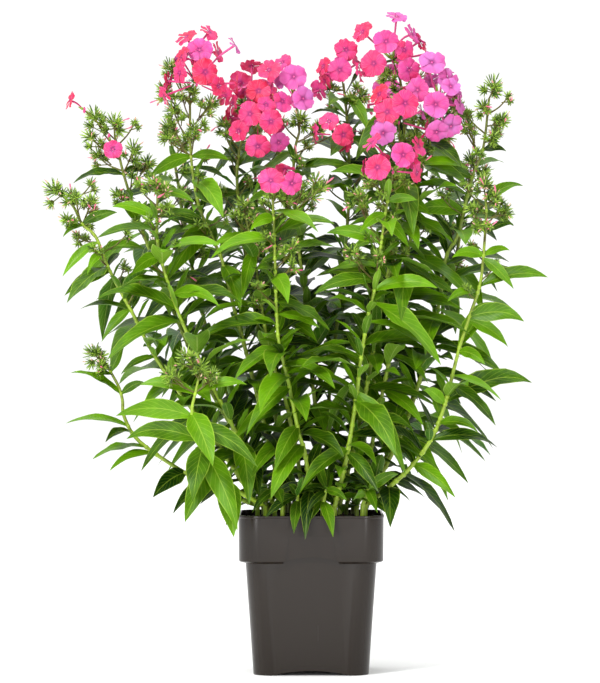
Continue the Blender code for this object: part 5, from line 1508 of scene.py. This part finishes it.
def draw_lobe(piece, flower, angle, tone, draw):
    """An upper and a lower sheet for one lobe, widest past its middle, lapped over and a little ruffled."""
    side, other = frame_of(flower.normal)
    out = swept(side, other, angle)
    across = other * math.cos(angle) - side * math.sin(angle)
    radius = flower.radius * draw.uniform(*LOBE_SIZE) - THROAT
    lap = draw.uniform(*LOBE_LAP)
    phase = draw.uniform(0, FULL_TURN)
    bend = draw.uniform(*LOBE_BEND)
    ruffle = draw.uniform(*LOBE_RUFFLE)

    def surface(over):
        def shape(u, t):
            far = radius * t * (1 + ruffle * t * math.sin(phase + 5.5 * u) - 0.1 * u * u * t)
            half = radius * between(LOBE_HALF, t) * u
            height = 0.12 * far - 0.06 * radius * t * t + bend * radius * t ** 3 - 0.05 * radius * u * u * t
            height += lap * radius * u * t + ruffle * 1.6 * radius * t * t * math.sin(phase + 4.5 * u)
            height += over * PETAL_LENS * (1 - u * u) * (1 - t ** 4) * min(1, 4 * t)
            return kept(flower.centre + out * (THROAT + far) + across * half + flower.normal * height)
        return shape

    sheet(piece, LOBE_ACROSS, LOBE_ROWS, surface(1), tone, PETAL_SKIN)
    sheet(piece, LOBE_ACROSS, LOBE_ROWS, surface(-1), tone, PETAL_SKIN)


def draw_flower(piece, flower, tone, draw):
    """A flower's tube, and its lobes with their own shades of its tone."""
    reach = (flower.centre - flower.core).length
    knee = flower.centre - flower.normal * reach * TUBE_KNEE
    line = smooth_path([flower.core.lerp(knee, 0.3), knee, flower.centre], 3)
    radii = [(TUBE_NARROW + TUBE_GROWTH * i / (len(line) - 1)) * MM for i in range(len(line))]
    roll(piece, line, radii, 6, tone, TUBE_SKIN)
    start = draw.uniform(0, FULL_TURN)
    fade = draw.uniform(*LOBE_FADE)
    for k in range(LOBES):
        shade = tone + draw.uniform(*LOBE_TONE)
        turn = start + k * 2 * math.pi / LOBES
        draw_lobe(piece, flower, turn, lambda t, shade=shade: shade + fade * (0.5 - t), draw)


# %% [markdown]
# ## The clusters' colours
#
# A tone of 0 is the reddest pink and 1 the palest violet; the list follows the flowers of the blooms' table.

# %% Clusters
TONES = {
    "bloom_left": (0.1, 0.6, 0.12, 0.3, 0.15, 0.3, 0.3, 0.75),
    "bloom_left_low": (0.5,),
    "bloom_left_side": (0.05,),
    "bloom_centre_left": (0.3, 0.35, 0.42, 0.1, 0.3, 0.35, 0.65, 0.3, 0.5),
    "bloom_centre": (0.75, 0.85, 0.5),
    "bloom_pair": (0.42, 0.55),
    "bloom_centre_back": (0.35, 0.5, 0.25),
    "bloom_centre_low": (0.35, 0.15),
    "bloom_right_top": (0.2, 0.7, 0.55, 0.7, 0.35, 0.4, 0.5),
    "bloom_right_side": (0.95, 0.8, 0.6, 0.7, 0.9, 0.75, 0.8),
    "bloom_right_middle": (0.35, 0.25, 0.85, 0.1),
    "bloom_front_right": (0.3, 0.5, 0.4, 0.35),
    "bloom_back_left": (0.4, 0.55, 0.3),
    "bloom_back_right": (0.6, 0.4, 0.7),
}
FURTHER_SHARE = 0.9
FURTHER_TRIES = 120
FURTHER_LIFT = (-25, 70)
FURTHER_REACH = (0.75, 1.05)
FURTHER_SIZE = (0.72, 0.9)
APART = 0.78
CORE_KNOTS = ((-3.4, 0.6), (-1.5, 1.5), (1.5, 1.5), (3.4, 0.6))


def further_flowers(flowers, tones, draw):
    """Smaller flowers where there is room between the given ones, turned away from the cluster's core."""
    found = list(zip(flowers, tones))
    core = flowers[0].core
    mean = sum((flower.centre - core).length for flower in flowers) / len(flowers)
    wanted = len(flowers) + round(FURTHER_SHARE * len(flowers))
    for _ in range(FURTHER_TRIES):
        if len(found) >= wanted:
            break
        out = facing(draw.uniform(-180, 180), draw.uniform(*FURTHER_LIFT))
        centre = core + out * mean * draw.uniform(*FURTHER_REACH)
        radius = LIMB_RADIUS * draw.uniform(*FURTHER_SIZE) * MM
        clear = all((centre - other.centre).length > APART * (radius + other.radius) for other, _ in found)
        if clear and within(centre, radius):
            found.append((Flower(core, centre, out, radius), draw.choice(tones)))
    return found


flower_total = 0
for name, flowers in blooms.items():
    piece = Piece()
    core = flowers[0].core
    ball = [core + Vector((0, 0, height * MM)) for height, _ in CORE_KNOTS]
    roll(piece, ball, millimetres(*(radius for _, radius in CORE_KNOTS)), 6, 0.5, TUBE_SKIN)
    drawn = list(zip(flowers, TONES[name]))
    if len(flowers) > 1:
        drawn = further_flowers(flowers, TONES[name], look_draw)
    for flower, tone in drawn:
        draw_flower(piece, flower, tone, look_draw)
    flower_total += len(drawn)
    thing = finish_mesh(piece, name + "_fine", petal_materials)
    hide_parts(name)
print("flowers:", flower_total)

# %% [markdown]
# ## The pot
#
# The pot is lofted through squares with round corners, as in the solids' source, with finer corners and flat
# sides that lie a little in from them. The same cutters hollow it, arch its foot and its collar.

# %% Pot tools
SIDE_INSET = 0.8
SIDE_STEP = 3.0


def pot_square(half, z, radius, inset):
    """Corner points of a square with round corners, whose flat sides lie inset from the corners' arcs."""
    points = []
    for quarter in range(4):
        around = Matrix.Rotation(math.pi / 2 * quarter, 2)
        for step in range(CORNER_STEPS):
            angle = math.pi / 2 * step / (CORNER_STEPS - 1)
            corner = [half - radius + radius * share for share in (math.cos(angle), math.sin(angle))]
            points.append(around @ Vector(corner))
        for along in (half - radius - SIDE_STEP, radius + SIDE_STEP - half):
            points.append(around @ Vector((along, half - inset)))
    return [Vector((*point, z)) * MM for point in points]


def pot_stack(name, levels, radius):
    """A closed solid lofted through such squares, given as (half width, height, inset of the sides)."""
    bm = bmesh.new()
    rings = []
    for half, z, inset in levels:
        verts = [bm.verts.new(point) for point in pot_square(half, z, radius, inset)]
        rings.append([bm.edges.new(pair) for pair in zip(verts, verts[1:] + verts[:1])])
    for low, high in zip(rings, rings[1:]):
        bmesh.ops.bridge_loops(bm, edges=low + high)
    bmesh.ops.holes_fill(bm, edges=bm.edges[:], sides=0)
    bmesh.ops.recalc_face_normals(bm, faces=bm.faces[:])
    return plain_thing(name, bm)


def plain_thing(name, bm):
    """A new object of a mesh that is then freed."""
    mesh = bpy.data.meshes.new(name)
    bm.to_mesh(mesh)
    bm.free()
    thing = bpy.data.objects.new(name, mesh)
    bpy.context.scene.collection.objects.link(thing)
    return thing


def drum(name, sides, radius, length, place):
    """A round drum along the Z of its place."""
    bm = bmesh.new()
    bmesh.ops.create_cone(bm, cap_ends=True, segments=sides, radius1=radius * MM, radius2=radius * MM,
                          depth=length * MM, matrix=place)
    return plain_thing(name, bm)


def at(x, y, z):
    """A move to a place given in millimetres."""
    return Matrix.Translation(Vector((x, y, z)) * MM)


def pushed_outline(name, outline, around, face_at, out):
    """An outline of (x, z) points on one wall, drawn outwards as a cutter."""
    bm = bmesh.new()
    verts = [bm.verts.new(around @ Vector((x, -face_at(z), z)) * MM) for x, z in outline]
    grown = bmesh.ops.extrude_face_region(bm, geom=[bm.faces.new(verts)])["geom"]
    bmesh.ops.translate(bm, vec=around @ Vector((0, -out, 0)) * MM,
                        verts=[v for v in grown if isinstance(v, bmesh.types.BMVert)])
    bmesh.ops.recalc_face_normals(bm, faces=bm.faces[:])
    return plain_thing(name, bm)


def combine(thing, other, operation):
    """Applies one Boolean and removes its cutter."""
    step = thing.modifiers.new("step", "BOOLEAN")
    step.operation = operation
    step.object = other
    bpy.context.view_layer.update()
    mesh = bpy.data.meshes.new_from_object(thing.evaluated_get(bpy.context.evaluated_depsgraph_get()))
    thing.modifiers.clear()
    thing.data = mesh
    bpy.data.objects.remove(other)


# %% [markdown]
# The collar's panels slant in, their foot is an arch, and under the arch the collar is cut back to the body.

# %% The fine pot
COLLAR_ARCH = 5.0
ARCH_HALF = 29.0
ARCH_STEPS = 16
FILLET = 1.5
FOOT_EDGE = 0.4
FOOT_RISE = 0.8
BODY_LEAN = 0.02
COLLAR_INSET = 0.3
INSIDE_INSET = 1.0
RIM_EDGE = 0.5
SMOOTH_UNDER = math.radians(28)
ARCH_SIDES, DRAIN_SIDES, FOOT_SIDES = 256, 24, 32
PANEL_CUT, UNDER_ARCH_CUT = 10, 12
PLASTIC_STREAKS = (60.0, 60.0, 4.0)
MEAN_ROUGHNESS, ROUGHNESS_CHANGE = 0.25, 0.1
PLASTIC_GLOSS = 0.3


def arch_points(half, rise):
    """Points from right to left along the arch at a panel's foot."""
    points = []
    for k in range(ARCH_STEPS + 1):
        x = 1 - 2 * k / ARCH_STEPS
        points.append((half * x, COLLAR_BOTTOM + rise * (1 - x * x)))
    return points


def panel_face(z):
    """How far out a panel's face lies at a height: deepest at its foot."""
    slope = (PANEL_DEPTH - PANEL_TOP_DEPTH) / (PANEL_TOP - COLLAR_BOTTOM)
    return COLLAR_HALF - PANEL_DEPTH + (z - COLLAR_BOTTOM) * slope


def body_face(z):
    """How far out the body's flat sides lie, carried on up under the collar."""
    return BODY_TOP_HALF - SIDE_INSET + BODY_LEAN * (z - COLLAR_BOTTOM)


def make_pot():
    """The pot's lofted body, hollowed, with its foot arched, its collar cut back, and drain holes."""
    inner = CORNER_RADIUS - WALL
    lip = POT_HEIGHT - LIP_HEIGHT
    outside = ((FOOT_HALF - FOOT_EDGE, 0, SIDE_INSET), (FOOT_HALF, FOOT_RISE, SIDE_INSET),
               (BODY_TOP_HALF, COLLAR_BOTTOM - STEP_HEIGHT, SIDE_INSET),
               (COLLAR_HALF - FILLET, COLLAR_BOTTOM - 0.2 * STEP_HEIGHT, COLLAR_INSET),
               (COLLAR_HALF - 0.3, COLLAR_BOTTOM + 0.5, COLLAR_INSET),
               (COLLAR_HALF, COLLAR_BOTTOM + FILLET, COLLAR_INSET),
               (RIM_HALF - RIM_EDGE, lip, COLLAR_INSET), (RIM_HALF, lip + 0.8, 0),
               (RIM_HALF, POT_HEIGHT - RIM_EDGE, 0), (RIM_HALF - RIM_EDGE, POT_HEIGHT, 0))
    inside = ((FOOT_HALF - WALL, FLOOR_TOP, INSIDE_INSET), (BODY_TOP_HALF - WALL, SHOULDER, INSIDE_INSET),
              (RIM_HALF - WALL, SHOULDER + 6, COLLAR_INSET),
              (RIM_HALF - WALL, POT_HEIGHT + CUT_PAST, COLLAR_INSET))
    underside = [(FOOT_HALF - WALL, z, INSIDE_INSET) for z in (-1, FLOOR_BOTTOM)]
    pot = pot_stack("pot_fine", outside, CORNER_RADIUS)
    combine(pot, pot_stack("inside", inside, inner), "DIFFERENCE")
    combine(pot, pot_stack("underside", underside, inner), "DIFFERENCE")
    arch_radius = ((FOOT_ARCH_WIDTH / 2) ** 2 + FOOT_ARCH_HEIGHT ** 2) / (2 * FOOT_ARCH_HEIGHT)
    lying = Matrix.Rotation(math.pi / 2, 4, "X")
    for side in range(4):
        around = Matrix.Rotation(math.pi / 2 * side, 4, "Z")
        arch_place = around @ at(0, -FOOT_HALF, FOOT_ARCH_HEIGHT - arch_radius) @ lying
        combine(pot, drum("arch", ARCH_SIDES, arch_radius, 5 * WALL, arch_place), "DIFFERENCE")
        half = PANEL_BOTTOM_WIDTH / 2
        panel = [(-PANEL_TOP_WIDTH / 2, PANEL_TOP), (PANEL_TOP_WIDTH / 2, PANEL_TOP),
                 (half, COLLAR_BOTTOM - PANEL_FOOT), (-half, COLLAR_BOTTOM - PANEL_FOOT)]
        combine(pot, pushed_outline("panel", panel, around, panel_face, PANEL_CUT), "DIFFERENCE")
        under = [*arch_points(ARCH_HALF, COLLAR_ARCH), (-ARCH_HALF, COLLAR_BOTTOM - PANEL_FOOT),
                 (ARCH_HALF, COLLAR_BOTTOM - PANEL_FOOT)]
        under_arch = pushed_outline("under_arch", under, around, body_face, UNDER_ARCH_CUT)
        combine(pot, under_arch, "DIFFERENCE")
        hole = around @ at(DRAIN_AT, DRAIN_AT, FLOOR_TOP)
        combine(pot, drum("drain", DRAIN_SIDES, DRAIN_RADIUS, 4 * CUT_PAST, hole), "DIFFERENCE")
    middle = at(0, 0, (FLOOR_BOTTOM + 1) / 2)
    combine(pot, drum("foot", FOOT_SIDES, MIDDLE_FOOT_RADIUS, FLOOR_BOTTOM + 1, middle), "UNION")
    return pot


def plastic(name):
    """Dark grey moulded plastic, glossy, a little duller in faint upright streaks."""
    material = matt(name, "#211a14", MEAN_ROUGHNESS)
    tree = material.node_tree
    shader = tree.nodes["Principled BSDF"]
    streaks = place_on(tree).stretched(PLASTIC_STREAKS).grain(1.0, 2.0)
    roughness = streaks * ROUGHNESS_CHANGE + MEAN_ROUGHNESS
    tree.links.new(roughness.socket, shader.inputs["Roughness"])
    shader.inputs["Specular IOR Level"].default_value = PLASTIC_GLOSS
    return material


pot = make_pot()
bm = bmesh.new()
bm.from_mesh(pot.data)
for face in bm.faces:
    face.smooth = True
for edge in bm.edges:
    edge.smooth = not (edge.is_manifold and edge.calc_face_angle() > SMOOTH_UNDER)
bm.to_mesh(pot.data)
bm.free()
pot.data.materials.clear()
pot.data.materials.append(plastic("pot_plastic_fine"))
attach(pot, "root")
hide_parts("pot")
print("pot faces:", len(pot.data.polygons))

# %% [markdown]
# ## The soil
#
# A mound of lumps under a scatter of crumbs, filling the pot up to just under its rim.

# %% The fine soil
SOIL_CELLS = 60
SOIL_GAP = 0.5
CRUMBS = 420
CRUMB_SIZE = 2.4
CRUMB_MARGIN = 4
SOIL_SLACK = 1.5
EDGE_LOSS, MIDDLE_LOSS = 1.5, 2.0
LUMP_SPACING, LUMP_HEIGHT = 0.09, 2.2
GRAIN_SPACING, GRAIN_HEIGHT = 0.35, 0.7
SOIL_BOTTOM = FLOOR_TOP + 0.5


def soil_height(x, y):
    """The mound's height at a place: higher in the middle, lumpy, and level at the wall."""
    half = RIM_HALF - WALL - SOIL_GAP
    share = max(abs(x), abs(y)) / half
    mound = SOIL_EDGE - EDGE_LOSS + (SOIL_MIDDLE - SOIL_EDGE - MIDDLE_LOSS) * max(0, 1 - share ** 2.2)
    spot = Vector((x, y, 0))
    lumps = noise.fractal(spot * LUMP_SPACING, 0.6, 2.2, 4) * LUMP_HEIGHT
    lumps += noise.noise(spot * GRAIN_SPACING) * GRAIN_HEIGHT
    return min(mound + lumps * (1 - share ** 6), POT_HEIGHT - 1)


def square_spot(u, v, half, corner):
    """A place in a square with round corners, from shares of -1 to 1 across it."""
    x, y = u * half, v * half
    over = Vector((max(abs(x) - (half - corner), 0), max(abs(y) - (half - corner), 0)))
    longest = max(over.x, over.y)
    if over.length > 0:
        pull = longest / over.length
        x = math.copysign(min(abs(x), half - corner) + over.x * pull, x)
        y = math.copysign(min(abs(y), half - corner) + over.y * pull, y)
    return x, y


def make_soil():
    """The soil's lumpy top, its sides down to the floor, and crumbs scattered over it."""
    draw = random.Random(SEED + 3)
    bm = bmesh.new()
    half = RIM_HALF - WALL - SOIL_GAP
    top = bmesh.ops.create_grid(bm, x_segments=SOIL_CELLS, y_segments=SOIL_CELLS, size=1.0)["verts"]
    for vert in top:
        x, y = square_spot(vert.co.x, vert.co.y, half, CORNER_RADIUS - WALL)
        vert.co = Vector((x, y, soil_height(x, y))) * MM
    levels = ((SHOULDER + 7, half), (SHOULDER - 1, BODY_TOP_HALF - WALL - SOIL_GAP),
              (SOIL_BOTTOM, FOOT_HALF - WALL - SOIL_SLACK))
    above = half
    for low, wide in levels:
        rim = [edge for edge in bm.edges if edge.is_boundary]
        grown = bmesh.ops.extrude_edge_only(bm, edges=rim)["geom"]
        for vert in [v for v in grown if isinstance(v, bmesh.types.BMVert)]:
            vert.co = Vector((vert.co.x * wide / above, vert.co.y * wide / above, low * MM))
        above = wide
    bmesh.ops.holes_fill(bm, edges=bm.edges[:], sides=0)
    for _ in range(CRUMBS):
        x, y = (draw.uniform(-1, 1) * (half - CRUMB_MARGIN) for _ in range(2))
        x, y = square_spot(x / half, y / half, half, CORNER_RADIUS)
        size = draw.uniform(0.5, 1.0) ** 2 * CRUMB_SIZE
        height = min(soil_height(x, y) + size * 0.3, POT_HEIGHT - size)
        turn = Matrix.Rotation(draw.uniform(0, FULL_TURN), 4, (draw.random(), draw.random(), 1))
        shape = Matrix.Diagonal((1, draw.uniform(0.5, 0.9), draw.uniform(0.4, 0.8), 1))
        place = at(x, y, height) @ turn @ shape
        bmesh.ops.create_icosphere(bm, subdivisions=1, radius=size * MM, matrix=place)
    bmesh.ops.recalc_face_normals(bm, faces=bm.faces[:])
    thing = plain_thing("soil_fine", bm)
    thing.data.materials.append(peat("soil_crumb"))
    return thing


def peat(name):
    """Dark brown peat with lighter fibres and a rough, dull surface."""
    material, tree, shader = new_material(name, 0.95)
    share = (place_on(tree).grain(420.0, 5.0) + 0.08) * 3.0
    tree.links.new(mixed(share, "#1a0f0a", "#4a3122").socket, shader.inputs["Base Color"])
    return material


soil = make_soil()
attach(soil, "root")
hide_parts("soil")
print("soil faces:", len(soil.data.polygons))

# %% [markdown]
# ## Light, floor and camera
#
# A pale floor, a white room, a soft light from the left, and two narrow lights for the pot's edges. The
# camera stands where the photograph's stood.

# %% Light, floor and camera
ROOM_BACK, ROOM_FRONT, ROOM_TOP = 1.08, 0.25, 1.55
BACK_REACH, BACK_GROWTH = 0.3, 2.0
TOP_LEVEL = 0.7
SENSOR = 36.0
SHOWN_HEIGHT = 717.0


def white_room():
    """A room that is white behind the plant, dimmer in front of it, and brightest overhead."""
    world = bpy.data.worlds.new("white_room")
    world.use_nodes = True
    tree = world.node_tree
    _, back, up = Value(tree, add(tree, "ShaderNodeTexCoord"), "Generated").apart()
    behind = ((back + BACK_REACH) * BACK_GROWTH).to("SMOOTH_MIN", 1.0, 0.1).to("MAXIMUM", 0.0)
    above = up.over(TOP_LEVEL) * (ROOM_TOP - ROOM_FRONT)
    level = behind * (ROOM_BACK - ROOM_FRONT) + ROOM_FRONT + above
    tree.links.new(level.socket, tree.nodes["Background"].inputs["Strength"])
    tree.nodes["Background"].inputs["Color"].default_value = (1, 1, 1, 1)
    return world


bpy.context.scene.world = white_room()

bpy.ops.mesh.primitive_plane_add(size=14, location=(0, 0, 0))
floor = bpy.context.object
floor.name = "floor"
floor.data.materials.append(matt("pale_floor", "#fcfcfc", 0.95))


def soft_light(name, place, aim, width, height, power):
    """A rectangular lamp at a place, turned to its aim."""
    lamp = bpy.data.lights.new(name, "AREA")
    lamp.shape = "RECTANGLE"
    lamp.size = width
    lamp.size_y = height
    lamp.energy = power
    thing = bpy.data.objects.new(name, lamp)
    thing.location = place
    thing.rotation_euler = (Vector(aim) - Vector(place)).to_track_quat("-Z", "Y").to_euler()
    bpy.context.scene.collection.objects.link(thing)


soft_light("key", (-1.2, -1.9, 2.2), (0, 0, 0.4), 0.7, 0.7, 62)
soft_light("left_strip", (-0.5, -1.9, 0.3), (0, 0, 0.3), 0.16, 0.6, 7)
soft_light("right_strip", (0.5, -1.9, 0.3), (0, 0, 0.3), 0.06, 0.6, 6)

camera = bpy.data.cameras.new("camera")
camera.sensor_fit = "VERTICAL"
camera.sensor_height = SENSOR
camera.lens = SENSOR * VIEW_DISTANCE / SHOWN_HEIGHT
camera.clip_end = 50
viewer = bpy.data.objects.new("camera", camera)
viewer.location = (VIEW_X * MM, -VIEW_DISTANCE * MM, (VIEW_Z - EDGE_DROP) * MM)
viewer.rotation_euler = (math.pi / 2, 0, 0)
bpy.context.scene.collection.objects.link(viewer)
bpy.context.scene.camera = viewer
bpy.context.scene.view_settings.view_transform = "Standard"
